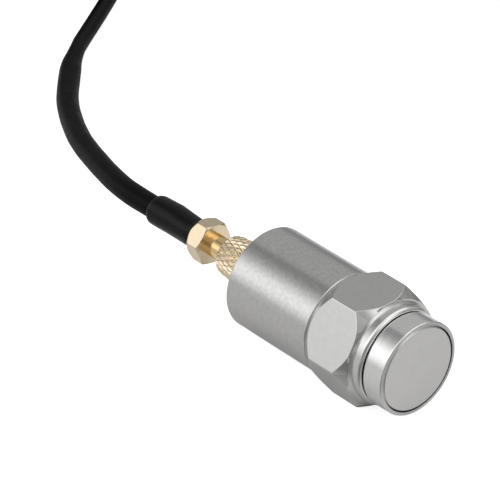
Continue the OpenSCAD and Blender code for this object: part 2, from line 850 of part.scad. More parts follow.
// Braid of the cable, folded over the stem and held by the ferrule
module plug_cable_braid() {
    color([0.60, 0.58, 0.55])
        on_axis()
            tube(ferrule_r - ferrule_wall - seat_gap, stem_d / 2 + seat_gap, s_stem + 0.4, s_end);
}

module crimp_ferrule() {
    color([0.86, 0.74, 0.48])
        on_axis()
            tube(ferrule_r, ferrule_r - ferrule_wall, s_stem, s_end);
}

// Lead

// Short thick shrink tube over the ferrule and the first of the sleeve
module shrink_tube() {
    shrink_end = s_stem + shrink_len;
    color([0.04, 0.04, 0.04])
        on_axis()
            difference() {
                turned([
                    [0, s_stem], [shrink_r - 0.1, s_stem], [shrink_r, s_stem + 0.15],
                    [shrink_r, shrink_end - shrink_taper], [sleeve_r + 0.15, shrink_end], [0, shrink_end]]);
                tube(ferrule_r + seat_gap, 0, s_stem - 1, s_end);
                tube(sleeve_r + seat_gap, 0, s_end - 0.1, shrink_end + 1);
            }
}

module cable_sleeve() {
    last = len(sleeve_route) - 1;
    color([0.04, 0.04, 0.04])
        swept(sleeve_route, [for (i = [0:last]) i < last ? sleeve_r : cable_r + 0.1]);
}

module cable() {
    color([0.05, 0.05, 0.05])
        swept(cable_route, [for (p = cable_route) cable_r]);
}

// Outer shape of the neat round coil
module cable_coil() {
    inner_r = coil_mean_d / 2 - coil_w / 2;
    outer_r = coil_mean_d / 2 + coil_w / 2;
    edge = cable_r / 2;
    color([0.05, 0.05, 0.05])
        translate([coil_at[0], coil_at[1], 0])
            turned([
                [inner_r, edge], [inner_r + edge, 0], [outer_r - edge, 0], [outer_r, edge],
                [outer_r, coil_h - edge], [outer_r - edge, coil_h], [inner_r + edge, coil_h],
                [inner_r, coil_h - edge]]);
}

module cable_tail() {
    color([0.05, 0.05, 0.05])
        swept(tail_route, [for (p = tail_route) cable_r]);
}

// Bayonet plug at the far end

// Rubber boot with shallow ribs
module bayonet_boot() {
    front_r = boot_front_d / 2;
    tail_r = boot_tail_d / 2;
    rib_count = 4;
    rib_pitch = 1.7;
    rib_w = 0.6;
    rib_depth = 0.35;
    color([0.05, 0.05, 0.05])
        on_plug()
            difference() {
                turned([
                    [0, 0], [tail_r - 0.3, 0], [tail_r, 0.3], [front_r, t_ferrule + 0.5],
                    [front_r, boot_len - 0.4], [front_r - 0.4, boot_len], [0, boot_len]]);
                tube(cable_r + run_gap, 0, -1, boot_len + 1);
                tube(far_ferrule_r + seat_gap, 0, t_ferrule, boot_len + 1);
                for (i = [0:rib_count - 1]) {
                    z = 1.5 + i * rib_pitch;
                    r = tail_r + (front_r - tail_r) * z / t_ferrule;
                    tube(r + 2, r - rib_depth, z, z + rib_w);
                }
            }
}

module bayonet_ferrule() {
    color([0.78, 0.78, 0.77])
        on_plug()
            tube(far_ferrule_r, far_ferrule_bore_r, t_ferrule, t_body);
}

// Body with its crimp stem, the hub that the collar turns on and the slotted contact sleeve
module bayonet_body() {
    body_r = far_body_d / 2;
    bevel = 1;
    slots = 4;
    color([0.76, 0.76, 0.75])
        on_plug()
            difference() {
                turned([
                    [0, t_stem], [far_stem_r, t_stem], [far_stem_r, t_body], [body_r - bevel, t_body],
                    [body_r, t_body + bevel], [body_r, t_hub - 0.3], [body_r - 0.3, t_hub], [hub_r, t_hub],
                    [hub_r, t_snap - 0.02], [snap_groove_r, t_snap - 0.02],
                    [snap_groove_r, t_snap + snap_t + 0.02], [hub_r, t_snap + snap_t + 0.02],
                    [hub_r, t_hub_end], [contact_r, t_hub_end], [contact_r, t_tip - 0.4],
                    [contact_r - 0.25, t_tip], [0, t_tip]]);
                tube(far_stem_bore_r, 0, t_stem - 1, t_insulator + 1);
                tube(contact_bore_r, 0, t_insulator, t_tip + 1);
                for (i = [0:slots - 1])
                    rotate([0, 0, 45 + i * 360 / slots])
                        translate([contact_bore_r - 0.5, -sleeve_slot_w / 2, t_hub_end + 1.5])
                            cube([sleeve_contact_wall + 1, sleeve_slot_w, sleeve_contact_len]);
            }
}

// Split ring in the hub's groove that keeps the collar on
module bayonet_snap_ring() {
    ring_r = hub_r + 0.7;
    split = 1.6;
    color([0.60, 0.60, 0.61])
        on_plug()
            difference() {
                tube(ring_r, snap_groove_r + seat_gap, t_snap, t_snap + snap_t);
                translate([0, -split / 2, t_snap - 1])
                    cube([ring_r + 1, split, snap_t + 2]);
            }
}

module bayonet_wave_washer() {
    inner_r = hub_r + run_gap;
    outer_r = chamber_r - 0.35;
    color([0.60, 0.60, 0.61])
        on_plug()
            turned([
                [inner_r, t_snap - wave_t], [outer_r, t_wave], [outer_r, t_wave + wave_t], [inner_r, t_snap]]);
}

module bayonet_gasket() {
    color([0.55, 0.10, 0.07])
        on_plug()
            tube(hub_r, contact_r + seat_gap, t_hub_end, t_hub_end + gasket_len);
}

module bayonet_insulator() {
    nose_r = 2.35;
    nose_len = 5.5;
    base_len = 7.5;
    color([0.94, 0.94, 0.93])
        on_plug()
            difference() {
                union() {
                    tube(contact_bore_r - seat_gap, 0, t_insulator, t_insulator + base_len);
                    tube(nose_r, 0, t_insulator + base_len - 0.1, t_insulator + base_len + nose_len);
                }
                tube(pin_r + seat_gap, 0, t_insulator - 1, t_tip);
            }
}

module bayonet_pin() {
    tip = 0.8;
    pin_end = t_tip - 0.3;
    color([0.86, 0.70, 0.36])
        on_plug()
            turned([
                [0, t_pin], [pin_r, t_pin], [pin_r, pin_end - tip],
                [pin_r - 0.35, pin_end], [0, pin_end]]);
}

module bayonet_cable_core() {
    color([0.92, 0.92, 0.90])
        on_plug()
            tube(far_stem_bore_r - seat_gap, 0, t_stem, t_pin);
}

module bayonet_cable_braid() {
    color([0.60, 0.58, 0.55])
        on_plug()
            tube(far_ferrule_bore_r - seat_gap, far_stem_r + seat_gap, t_stem, t_body - 0.4);
}

// Collar that turns on the hub, with two curved channels that end in round holes
module bayonet_collar() {
    collar_r = bayonet_d / 2;
    bore_r = bayonet_bore / 2;
    chamber_len = 2.9;
    channel_r = bore_r + channel_depth;
    turn = 80;
    steps = 10;
    entry = t_collar_end - 3.5;
    rise = 2.6;
    waist_r = collar_r - 0.45;
    grip_len = 6;
    flute_r = 0.5;
    color([0.78, 0.78, 0.77])
        on_plug()
            difference() {
                turned([
                    [0, t_collar], [collar_r - 0.8, t_collar], [collar_r - 0.3, t_collar + 0.8],
                    [collar_r - 0.3, t_collar + 2], [waist_r, t_collar + 2.6],
                    [waist_r, t_collar_end - grip_len - 0.5], [collar_r, t_collar_end - grip_len],
                    [collar_r, t_collar_end - 0.5], [collar_r - 0.5, t_collar_end], [0, t_collar_end]]);
                tube(hub_r + run_gap, 0, t_collar - 1, t_collar_end);
                tube(chamber_r, 0, t_chamber, t_chamber + chamber_len);
                tube(bore_r, 0, t_chamber, t_collar_end + 1);
                for (side = [0, 180])
                    rotate([0, 0, side]) {
                        // Straight entry from the mouth
                        intersection() {
                            translate([0, -channel_w / 2, entry])
                                cube([channel_r, channel_w, t_collar_end - entry + 1]);
                            tube(channel_r, 0, entry - 1, t_collar_end + 1);
                        }
                        // Ramp round to the locking hole
                        for (i = [0:steps])
                            rotate([0, 0, turn * i / steps])
                                translate([0, 0, entry - rise * i / steps])
                                    rotate([0, 90, 0])
                                        cylinder(d = channel_w, h = channel_r);
                        rotate([0, 0, turn])
                            translate([0, 0, entry - rise])
                                rotate([0, 90, 0])
                                    cylinder(d = channel_w, h = collar_r + 1);
                    }
                for (i = [0:flute_count - 1])
                    rotate([0, 0, 360 * i / flute_count])
                        translate([collar_r + flute_r * 0.5, 0, t_collar_end - grip_len + 0.7])
                            cylinder(r = flute_r, h = grip_len - 1.4);
            }
}

magnet_disc();
resin_ring();
magnet_pot();
mounting_stud();
sensor_base();
post_insulator();
lower_piezo_ring();
contact_disc();
upper_piezo_ring();
seismic_mass();
spring_washer();
preload_nut();
shield_can();
board_carrier();
circuit_board();
board_parts();
signal_lead();
output_lead();
sensor_housing();
jack_body();
jack_insulator();
jack_contact();
coupling_nut();
plug_barrel();
plug_body();
plug_insulator();
plug_pin();
plug_cable_core();
plug_cable_braid();
crimp_ferrule();
shrink_tube();
cable_sleeve();
cable();
cable_coil();
cable_tail();
bayonet_boot();
bayonet_ferrule();
bayonet_body();
bayonet_snap_ring();
bayonet_wave_washer();
bayonet_gasket();
bayonet_insulator();
bayonet_pin();
bayonet_cable_core();
bayonet_cable_braid();
bayonet_collar();
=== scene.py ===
"""Looks of a small vibration sensor on a magnetic foot, with its gold plug and black lead."""
import json
import math

import bpy
import numpy as np
from mathutils import Matrix, Vector


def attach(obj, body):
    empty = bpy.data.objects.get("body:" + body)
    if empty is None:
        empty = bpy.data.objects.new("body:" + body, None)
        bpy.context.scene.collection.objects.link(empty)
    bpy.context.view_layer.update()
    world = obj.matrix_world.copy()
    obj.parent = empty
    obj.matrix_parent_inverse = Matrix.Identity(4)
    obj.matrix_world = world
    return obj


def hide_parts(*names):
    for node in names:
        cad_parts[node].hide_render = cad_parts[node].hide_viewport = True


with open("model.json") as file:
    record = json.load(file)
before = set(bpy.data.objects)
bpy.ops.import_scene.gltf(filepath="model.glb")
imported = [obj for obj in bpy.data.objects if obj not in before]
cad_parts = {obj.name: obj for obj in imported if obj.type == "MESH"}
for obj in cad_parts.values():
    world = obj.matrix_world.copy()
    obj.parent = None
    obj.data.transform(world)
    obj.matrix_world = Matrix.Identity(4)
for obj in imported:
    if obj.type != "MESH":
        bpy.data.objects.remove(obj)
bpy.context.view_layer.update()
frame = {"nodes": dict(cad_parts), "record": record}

MM = 0.001
NODES = frame["nodes"]
scene = bpy.context.scene
scene.view_settings.view_transform = "Standard"


# Camera: its place in millimetres, the way it looks and the way to its right

CAMERA_AT = (-243.48, -276.52, 260.43)
CAMERA_AHEAD = (0.5401, 0.6351, -0.5522)
CAMERA_RIGHT = (0.7507, -0.6601, -0.0250)
FILM_WIDTH, FOCAL_LENGTH = 36.0, 216.0
NEAREST, FARTHEST = 0.01, 20.0


def make_camera():
    """The photograph's viewpoint, solved from the hexagon, the foot and the housing."""
    ahead = Vector(CAMERA_AHEAD).normalized()
    right = Vector(CAMERA_RIGHT)
    right = (right - ahead * right.dot(ahead)).normalized()
    turn = Matrix((right, right.cross(ahead), -ahead)).transposed().to_4x4()
    data = bpy.data.cameras.new("camera")
    data.sensor_width = FILM_WIDTH
    data.lens = FOCAL_LENGTH
    data.clip_start = NEAREST
    data.clip_end = FARTHEST
    camera = bpy.data.objects.new("camera", data)
    scene.collection.objects.link(camera)
    camera.matrix_world = Matrix.Translation(Vector(CAMERA_AT) * MM) @ turn
    scene.camera = camera


make_camera()


# Lead: its route in millimetres, with chosen points outside the coil and a loop for the coil's turns

CABLE_R = 1.35
SLEEVE_ROUTE = [
    (0, 26.5, 8.5), (0, 32.5, 8.5), (0.5, 39.5, 8.1), (2, 45.5, 7.3), (4.5, 52.5, 6.1), (8, 61, 4.6),
    (12, 68.5, 3.3), (16.5, 75.5, 2.4), (21.5, 81.5, 2), (25.5, 85.8, 1.85), (27.8, 87.8, 1.85),
    (29, 88.8, 1.85),
]
# After the sleeve the cable is a little thicker for a while, and its middle lies that much higher
CABLE_ROUTE = [
    (31.5, 90.8, 1.65), (34.5, 92.9, 1.5), (39.5, 96.2, 1.47), (45, 99.9, 1.46), (51, 104.1, 1.42),
    (57, 108.3, 1.37),
]
CABLE_SWELL = [1.08, 1.08, 1.08, 1.07, 1.04, 1.01]
TAIL_ROUTE = [
    (46, 150.3, 9.2), (41, 150.3, 8.4), (37, 150.3, 7.6), (33, 150.3, 7.25), (28, 150.3, 7.25),
    (23.5, 150.3, 7.25),
]
# Middle of the coil, radii of its outermost and innermost turn, and the angles where it starts and ends
COIL_AT = (51.0, 129.5)
COIL_OUTER, COIL_INNER = 20.75, 11.45
COIL_START, COIL_END = -55.0, 90.0
COIL_TURNS, COIL_LAYERS = 13, 4
# Points in a turn, and the degrees before and after a layer's end over which the cable climbs to the next
COIL_STEPS = 16
COIL_CLIMB = 50.0


def eased(x):
    """0 up to 0 and 1 from 1 on, with a smooth rise between."""
    x = min(max(x, 0), 1)
    return x * x * (3 - 2 * x)


def coil_points():
    """The coil's whole length: layers of turns, wound inwards and outwards by turns."""
    total = COIL_TURNS * 360 + COIL_END - COIL_START
    layer = total / COIL_LAYERS
    count = int(total / 360 * COIL_STEPS)
    points = []
    for i in range(count + 1):
        swept = total * i / count
        k = min(int(swept / layer), COIL_LAYERS - 1)
        along = min(max((swept - k * layer - COIL_CLIMB) / (layer - 2 * COIL_CLIMB), 0), 1)
        inwards = along if k % 2 == 0 else 1 - along
        r = COIL_OUTER + (COIL_INNER - COIL_OUTER) * inwards
        level = 0.0
        for step in range(1, COIL_LAYERS):
            level += eased((swept - step * layer) / COIL_CLIMB * 0.5 + 0.5)
        a = math.radians(COIL_START + swept)
        z = CABLE_R + 2 * CABLE_R * level
        points.append((COIL_AT[0] + r * math.cos(a), COIL_AT[1] + r * math.sin(a), z))
    return points


def curve_length(points):
    """Length of the line through points."""
    return sum((Vector(b) - Vector(a)).length for a, b in zip(points, points[1:]))


def smooth_path(points, step):
    """Points every step or so along a smooth curve through the given ones."""
    p = [Vector(q) for q in points]
    t = [0.0]
    for a, b in zip(p, p[1:]):
        t.append(t[-1] + (b - a).length)
    tangents = []
    for i in range(len(p)):
        a, b = max(i - 1, 0), min(i + 1, len(p) - 1)
        tangents.append((p[b] - p[a]) / (t[b] - t[a]))
    made = []
    for i in range(len(p) - 1):
        span = t[i + 1] - t[i]
        n = max(1, round(span / step))
        for k in range(n):
            u = k / n
            made.append((2 * u ** 3 - 3 * u ** 2 + 1) * p[i]
                        + (u ** 3 - 2 * u ** 2 + u) * span * tangents[i]
                        + (3 * u ** 2 - 2 * u ** 3) * p[i + 1]
                        + (u ** 3 - u ** 2) * span * tangents[i + 1])
    made.append(p[-1])
    return made


def make_lead():
    """The thin black cable, from the plug through the sleeve and coil to the far plug, and its length."""
    route = SLEEVE_ROUTE + CABLE_ROUTE + coil_points() + TAIL_ROUTE
    data = bpy.data.curves.new("lead", "CURVE")
    data.dimensions = "3D"
    data.resolution_u = 4
    data.bevel_depth = CABLE_R * MM
    data.bevel_resolution = 5
    data.use_fill_caps = True
    spline = data.splines.new("BEZIER")
    spline.bezier_points.add(len(route) - 1)
    for point, at in zip(spline.bezier_points, route):
        point.co = Vector(at) * MM
        point.handle_left_type = point.handle_right_type = "AUTO"
    for point, swell in zip(spline.bezier_points[len(SLEEVE_ROUTE):], CABLE_SWELL):
        point.radius = swell
    made = bpy.data.objects.new("lead", data)
    scene.collection.objects.link(made)
    return made, curve_length(smooth_path(route, 0.5)) * MM


lead, lead_length = make_lead()


# Meshes: what all pieces share

# Height of the sensor's axis over the floor, and the station along the axis that lies at Y 0
AXIS_Z = 8.5
MID_S = 26.5
# Degrees from which a convex edge counts, degrees more until it counts in full, and how far faces fall away
EDGE_FROM, EDGE_MORE, EDGE_OUT = 4, 6, 0.01
# Steps round a corner, and the radius from which a corner gets twice as many
CORNER_STEPS, LARGE_CORNER = 3, 0.2


def new_mesh(name, verts, faces, sharp=40.0):
    """An object with smooth faces that meet sharply where they turn by more than sharp degrees."""
    mesh = bpy.data.meshes.new(name)
    mesh.from_pydata([tuple(v) for v in verts], [], faces)
    mesh.validate()
    mesh.update()
    mesh.shade_smooth()
    mesh.set_sharp_from_angle(angle=math.radians(sharp))
    mark_edges(mesh)
    obj = bpy.data.objects.new(name, mesh)
    scene.collection.objects.link(obj)
    return obj


def mark_edges(mesh):
    """An attribute that is 1 on convex edges and 0 on even surface, for the wear and the painted highlight
    that edges get.
    """
    vert = np.empty(len(mesh.loops), int)
    mesh.loops.foreach_get("vertex_index", vert)
    sizes = np.empty(len(mesh.polygons), int)
    mesh.polygons.foreach_get("loop_total", sizes)
    poly = np.repeat(np.arange(len(sizes)), sizes)

    def vectors(items, name):
        flat = np.empty(3 * len(items))
        items.foreach_get(name, flat)
        return flat.reshape(-1, 3)

    v_normal, v_at = vectors(mesh.vertices, "normal"), vectors(mesh.vertices, "co")
    p_normal, p_at = vectors(mesh.polygons, "normal"), vectors(mesh.polygons, "center")
    turn = np.degrees(np.arccos(np.clip((v_normal[vert] * p_normal[poly]).sum(1), -1, 1)))
    away = p_at[poly] - v_at[vert]
    away /= np.maximum(np.linalg.norm(away, axis=1, keepdims=True), 1e-12)
    widest, fall = np.zeros(len(v_at)), np.zeros(len(v_at))
    np.maximum.at(widest, vert, turn)
    np.add.at(fall, vert, (away * v_normal[vert]).sum(1))
    value = np.clip((widest - EDGE_FROM) / EDGE_MORE, 0, 1) * (fall < -EDGE_OUT)
    mesh.attributes.new("edge", "FLOAT", "POINT").data.foreach_set("value", value)


def soften(points, radius, closed=True):
    """A profile with rounded corners, each with a support point close to both sides of it.

    A point may hold its own corner radius as a third number, and 0 keeps the corner sharp.
    Where it holds none, the corner takes at most 0.4 of the sides that meet in it."""
    p = [np.array(q[:2], float) for q in points]
    radii = [q[2] if len(q) > 2 else radius for q in points]
    n = len(p)
    made = []
    for i in range(n):
        if (not closed and i in (0, n - 1)) or radii[i] == 0:
            made.append(tuple(p[i]))
            continue
        at, before, after = p[i], p[i - 1], p[(i + 1) % n]
        first, last = np.linalg.norm(before - at), np.linalg.norm(after - at)
        u, v = (before - at) / first, (after - at) / last
        half = math.acos(max(-1, min(1, float(u @ v)))) / 2
        share = 0.4 if len(points[i]) < 3 else 1.0
        cut = min(radii[i] / math.tan(half), share * first, share * last)
        r = cut * math.tan(half)
        centre = at + (u + v) / np.linalg.norm(u + v) * r / math.sin(half)
        start, end = at + u * cut - centre, at + v * cut - centre
        support = min(0.6 * cut + 0.01, 0.08 * min(first, last) + 0.002)
        if cut + support < first:
            made.append(tuple(at + u * (cut + support)))
        steps = CORNER_STEPS if radii[i] < LARGE_CORNER else 2 * CORNER_STEPS
        for k in range(steps + 1):
            w = k / steps
            out = start * (1 - w) + end * w
            out = out / max(np.linalg.norm(out), 1e-9) * r
            made.append(tuple(centre + out))
        if cut + support < last:
            made.append(tuple(at + v * (cut + support)))
    return made


def on_sensor(s, r, angle):
    """A point by its station, radius and angle from up towards -X."""
    return ((-r * math.sin(angle)) * MM, (s - MID_S) * MM, (AXIS_Z + r * math.cos(angle)) * MM)


def station(at):
    """The station of a point in the scene."""
    return at.y / MM + MID_S


def lathe(name, profile_at, angles, closed=True, sharp=40.0):
    """A solid from one profile of (station, radius) points for each angle.

    All profiles have the same number of points. Radius 0 is a point on the axis."""
    rings = [profile_at(a) for a in angles]
    rows = len(rings[0])
    verts, index = [], []
    for j in range(rows):
        if all(ring[j][1] < 1e-6 for ring in rings):
            index.append([len(verts)] * len(angles))
            verts.append(on_sensor(rings[0][j][0], 0, 0))
        else:
            index.append(list(range(len(verts), len(verts) + len(angles))))
            verts += [on_sensor(*ring[j], a) for ring, a in zip(rings, angles)]
    faces = []
    for j in range(rows if closed else rows - 1):
        lower, upper = index[j], index[(j + 1) % rows]
        for i in range(len(angles)):
            k = (i + 1) % len(angles)
            face = []
            for v in (lower[i], lower[k], upper[k], upper[i]):
                if v not in face:
                    face.append(v)
            if len(face) > 2:
                faces.append(face)
    return facing_out(new_mesh(name, verts, faces, sharp))


def facing_out(obj):
    """The same solid with its faces turned outwards."""
    volume = 0.0
    for poly in obj.data.polygons:
        corners = [obj.data.vertices[v].co for v in poly.vertices]
        for b, c in zip(corners[1:], corners[2:]):
            volume += corners[0].dot(b.cross(c))
    if volume < 0:
        obj.data.flip_normals()
    return obj


def even_angles(count):
    """Angles at even steps round the axis."""
    return [2 * math.pi * i / count for i in range(count)]


def round_solid(name, profile, sides, closed=True):
    """A solid with the same profile at every angle."""
    return lathe(name, lambda a: profile, even_angles(sides), closed)


def hex_corner(apothem, edge):
    """Radius of the middle of a softened corner, and half the angle that the corner takes."""
    middle = (apothem - edge) / math.cos(math.pi / 6)
    return middle, math.atan2(edge * 0.5, middle + edge * math.cos(math.pi / 6))


def hex_radius(angle, flat_at, apothem, edge):
    """Radius of a hexagon with softened corners at an angle, with a flat's middle at flat_at."""
    middle, half = hex_corner(apothem, edge)
    d = (angle - flat_at + math.pi / 6) % (math.pi / 3) - math.pi / 6
    corner = math.pi / 6 - abs(d)
    if corner < half:
        return middle * math.cos(corner) + math.sqrt(edge ** 2 - (middle * math.sin(corner)) ** 2)
    return apothem / math.cos(d)


def hex_angles(flat_at, apothem, edge, between=24):
    """Angles for a hexagon: close together at its corners, even on its flats."""
    half = hex_corner(apothem, edge)[1]
    made = []
    for k in range(6):
        corner = flat_at + math.pi / 6 + k * math.pi / 3
        for share in (0.15, 0.4, 0.7, 1.0, 1.8):
            made += [corner - share * half, corner + share * half]
        for i in range(1, between):
            made.append(corner + math.pi / 3 * i / between)
    return sorted(a % (2 * math.pi) for a in made)


# Lengths along the sensor's axis in millimetres, as in the part's source: foot, base and housing

POT_LENGTH, POT_FLOOR, BOSS_LENGTH = 3.7, 1.9, 0.25
COLLAR_LENGTH, HEX_CHAMFER, HEX_LAND, HEX_BACK_CHAMFER = 1.8, 2.0, 4.75, 2.5
GROOVE_WIDTH, SPIGOT_LENGTH, POST_LENGTH, STUD_BORE_LENGTH = 0.25, 1.35, 9.4, 5.5
BODY_LENGTH, REAR_WALL = 17.2, 1.45
# Jack and plug
FLANGE, THREAD_LENGTH, NUT_PLAY, NUT_LENGTH = 0.7, 4.85, 0.2, 7.5
BARREL_FLANGE, BARREL_BORE, NECK_SHOWN = 0.9, 3.1, 3.8
SMALL_HEX_LENGTH, STEM_LENGTH = 2.95, 5.4

# Stations along the axis that follow from them

S_MAGNET = POT_LENGTH - POT_FLOOR
S_COLLAR = POT_LENGTH + BOSS_LENGTH
S_STUD_END = S_COLLAR + STUD_BORE_LENGTH
S_HEX = S_COLLAR + COLLAR_LENGTH
S_GROOVE = S_HEX + HEX_CHAMFER + HEX_LAND + HEX_BACK_CHAMFER
S_BODY = S_GROOVE + GROOVE_WIDTH
S_SEAT = S_BODY + SPIGOT_LENGTH
S_POST_END = S_SEAT + POST_LENGTH
S_REAR = S_BODY + BODY_LENGTH
S_CAVITY = S_REAR - REAR_WALL
S_THREAD = S_REAR + FLANGE
S_NUT = S_THREAD + NUT_PLAY
S_BARREL = S_THREAD + THREAD_LENGTH + BARREL_FLANGE
S_STEP = S_BARREL + BARREL_BORE
S_SMALL_HEX = S_NUT + NUT_LENGTH + NECK_SHOWN
S_STEM = S_SMALL_HEX + SMALL_HEX_LENGTH
S_END = S_STEM + STEM_LENGTH

# Radii of the sensor: the hexagon's flats, the housing, the foot's boss, the stud's bore and the post
HEX_FLAT = AXIS_Z
BODY_R = 8.25
BOSS_R, STUD_BORE_R, POST_R = 5.7, 2.52, 1.5

# Foot as the photograph shows it: station of its front, and radii of its bore and its magnet
S_FRONT = -0.1
BORE_R, MAGNET_R = 6.87, 6.74
# Station where the rim's own material ends, and that of the hexagon's face behind the collar
S_RIM_END = 0.01
S_FACE = S_HEX + 0.1

# Radius of the collar and of the rounding on its edge
COLLAR_R, COLLAR_EDGE = 7.85, 0.55
# Wear of the collar's edge up to the axis, the painted highlight it gains above, and the millimetres over
# which it gains it
COLLAR_WEAR, COLLAR_TOP_HIGHLIGHT, COLLAR_HIGHLIGHT_RISE = 0.1, 0.5, 8
# Least wear and painted highlight between collar and hexagon, what marked hexagon edges lose and are
# multiplied by
RING_WEAR_AND_HIGHLIGHT = 0.3
HEX_EDGE_LESS, HEX_EDGE_GAIN = 0.06, 8


def make_pot():
    """Steel pot of the foot, with a fine bead round its bore and a boss that meets the collar."""
    outer_r, front_edge, rear_edge = 7.45, 0.2, 0.55
    bead_r, bead_foot_r, bead_edge, bead_height = 6.97, 7.04, 0.03, 0.05
    collar_gap = 0.08
    rim = S_FRONT + bead_height
    rear = S_COLLAR - collar_gap
    return round_solid("foot_pot", soften(
        [(S_FRONT, BORE_R, bead_edge), (S_FRONT, bead_r, bead_edge), (rim, bead_foot_r, bead_edge),
         (rim, outer_r, front_edge), (rear, outer_r, rear_edge), (rear, BOSS_R), (S_COLLAR, BOSS_R),
         (S_COLLAR, STUD_BORE_R), (S_MAGNET, STUD_BORE_R), (S_MAGNET, BORE_R)], 0.05), sides=160)


def make_magnet():
    """Magnet disc with a chamfered front edge."""
    face = S_FRONT + 0.02
    chamfer = 0.2
    return round_solid("foot_magnet", soften(
        [(face, 0), (face, MAGNET_R - chamfer, 0.12), (face + chamfer, MAGNET_R, 0.08),
         (S_MAGNET, MAGNET_R), (S_MAGNET, 0)], 0.1, closed=False), sides=160, closed=False)


def make_resin():
    """Black resin between magnet and pot, drawn up along the wall of the pot's bore."""
    low, high = S_FRONT + 0.4, S_FRONT + 0.12
    start = MAGNET_R - 0.02
    steps = 8
    top = []
    for k in range(steps + 1):
        x = k / steps
        top.append((high + (low - high) * (1 - x) ** 0.5, start + (BORE_R - start) * x))
    return round_solid("foot_resin", top + [(S_MAGNET, BORE_R), (S_MAGNET, start)], sides=160)


def make_base():
    """Collar, hexagon with its turned chamfers, parting groove, spigot and post, in one piece."""
    corner = HEX_FLAT / math.cos(math.pi / 6)
    round_edge, back_edge = 0.3, 0.12
    # Rounding of the front edge: in a flat's middle, what it gains outwards, and over which length
    edge_least, edge_more, edge_rise = 0.08, 0.1, 0.4
    # Least length of the front chamfer, which it has in a flat's middle
    front_least = 0.13
    # Turned recess in the collar's face: radii where its floor starts and ends and of its outer edge
    floor_start_r, floor_end_r, recess_r = 5.8, 7.2, 7.28
    floor = S_COLLAR + 0.3
    # Slanted ring between collar and hexagon: its start, its end and its roundings, then the face's radius
    ring_start, ring_end, ring_r = S_HEX - 0.14, S_HEX + 0.09, 8.18
    ring_start_edge, ring_end_edge = 0.06, 0.05
    face_r = 8.38
    groove_r, spigot_r = 7.9, 7.23

    def profile(a):
        r = hex_radius(a, 0.0, HEX_FLAT, round_edge)
        front = S_HEX + max((r - HEX_FLAT) * HEX_CHAMFER / (corner - HEX_FLAT), front_least)
        front_edge = edge_least + edge_more * min(1, (r - HEX_FLAT) / edge_rise)
        back = S_GROOVE - (r - BODY_R) * HEX_BACK_CHAMFER / (corner - BODY_R)
        outer = soften(
            [(S_COLLAR, STUD_BORE_R), (S_COLLAR, BOSS_R, 0), (floor, floor_start_r, 0),
             (floor, floor_end_r, 0), (S_COLLAR, recess_r, 0.03), (S_COLLAR, COLLAR_R, COLLAR_EDGE),
             (ring_start, COLLAR_R, ring_start_edge), (ring_end, ring_r, ring_end_edge),
             (S_FACE, face_r, 0), (front, r, front_edge), (back, r, back_edge), (S_GROOVE, BODY_R, 0.05),
             (S_GROOVE, groove_r, 0), (S_BODY, groove_r, 0), (S_BODY, spigot_r, 0),
             (S_SEAT, spigot_r, 0), (S_SEAT, POST_R, 0), (S_POST_END, POST_R, 0),
             (S_POST_END, 0)], 0, closed=False)
        return [(S_STUD_END, 0), (S_STUD_END, STUD_BORE_R)] + outer

    obj = lathe("base_hexagon", profile, hex_angles(0.0, HEX_FLAT, round_edge), closed=False)
    paint_base_wear_and_highlight(obj)
    return obj


def paint_base_wear_and_highlight(obj):
    """Sets each part of the base's wear and painted highlight, from its marked edges and its place."""
    for vert, wear_and_highlight in zip(obj.data.vertices, obj.data.attributes["edge"].data):
        s = station(vert.co)
        # The collar's edge: wear, with a painted highlight that grows towards the top.
        if s < S_COLLAR + COLLAR_EDGE:
            height = max(0.0, (vert.co.z / MM - AXIS_Z) / COLLAR_HIGHLIGHT_RISE)
            wear_and_highlight.value = COLLAR_WEAR + COLLAR_TOP_HIGHLIGHT * height
        # The ring up to the hexagon's face: at least some wear and painted highlight.
        elif s < S_FACE:
            wear_and_highlight.value = max(wear_and_highlight.value, RING_WEAR_AND_HIGHLIGHT)
        # The hexagon: marked edges get stronger wear and painted highlight.
        else:
            wear_and_highlight.value = min(1.0, HEX_EDGE_GAIN * max(0.0, wear_and_highlight.value - HEX_EDGE_LESS))


def make_housing():
    """Round housing, open in front and with a hole for the jack behind."""
    cavity_r, hole_r = 7.25, 3.22
    front_chamfer = 0.12
    rear_edge = 0.2
    rear_start = S_REAR - 0.06
    return round_solid("housing_shell", soften(
        [(S_BODY, cavity_r), (S_BODY, BODY_R - front_chamfer), (S_BODY + front_chamfer, BODY_R),
         (S_REAR - rear_edge, BODY_R), (rear_start, BODY_R - 0.06), (S_REAR, BODY_R - rear_edge),
         (S_REAR, hole_r), (S_CAVITY, hole_r), (S_CAVITY, cavity_r)], 0.05), sides=192)


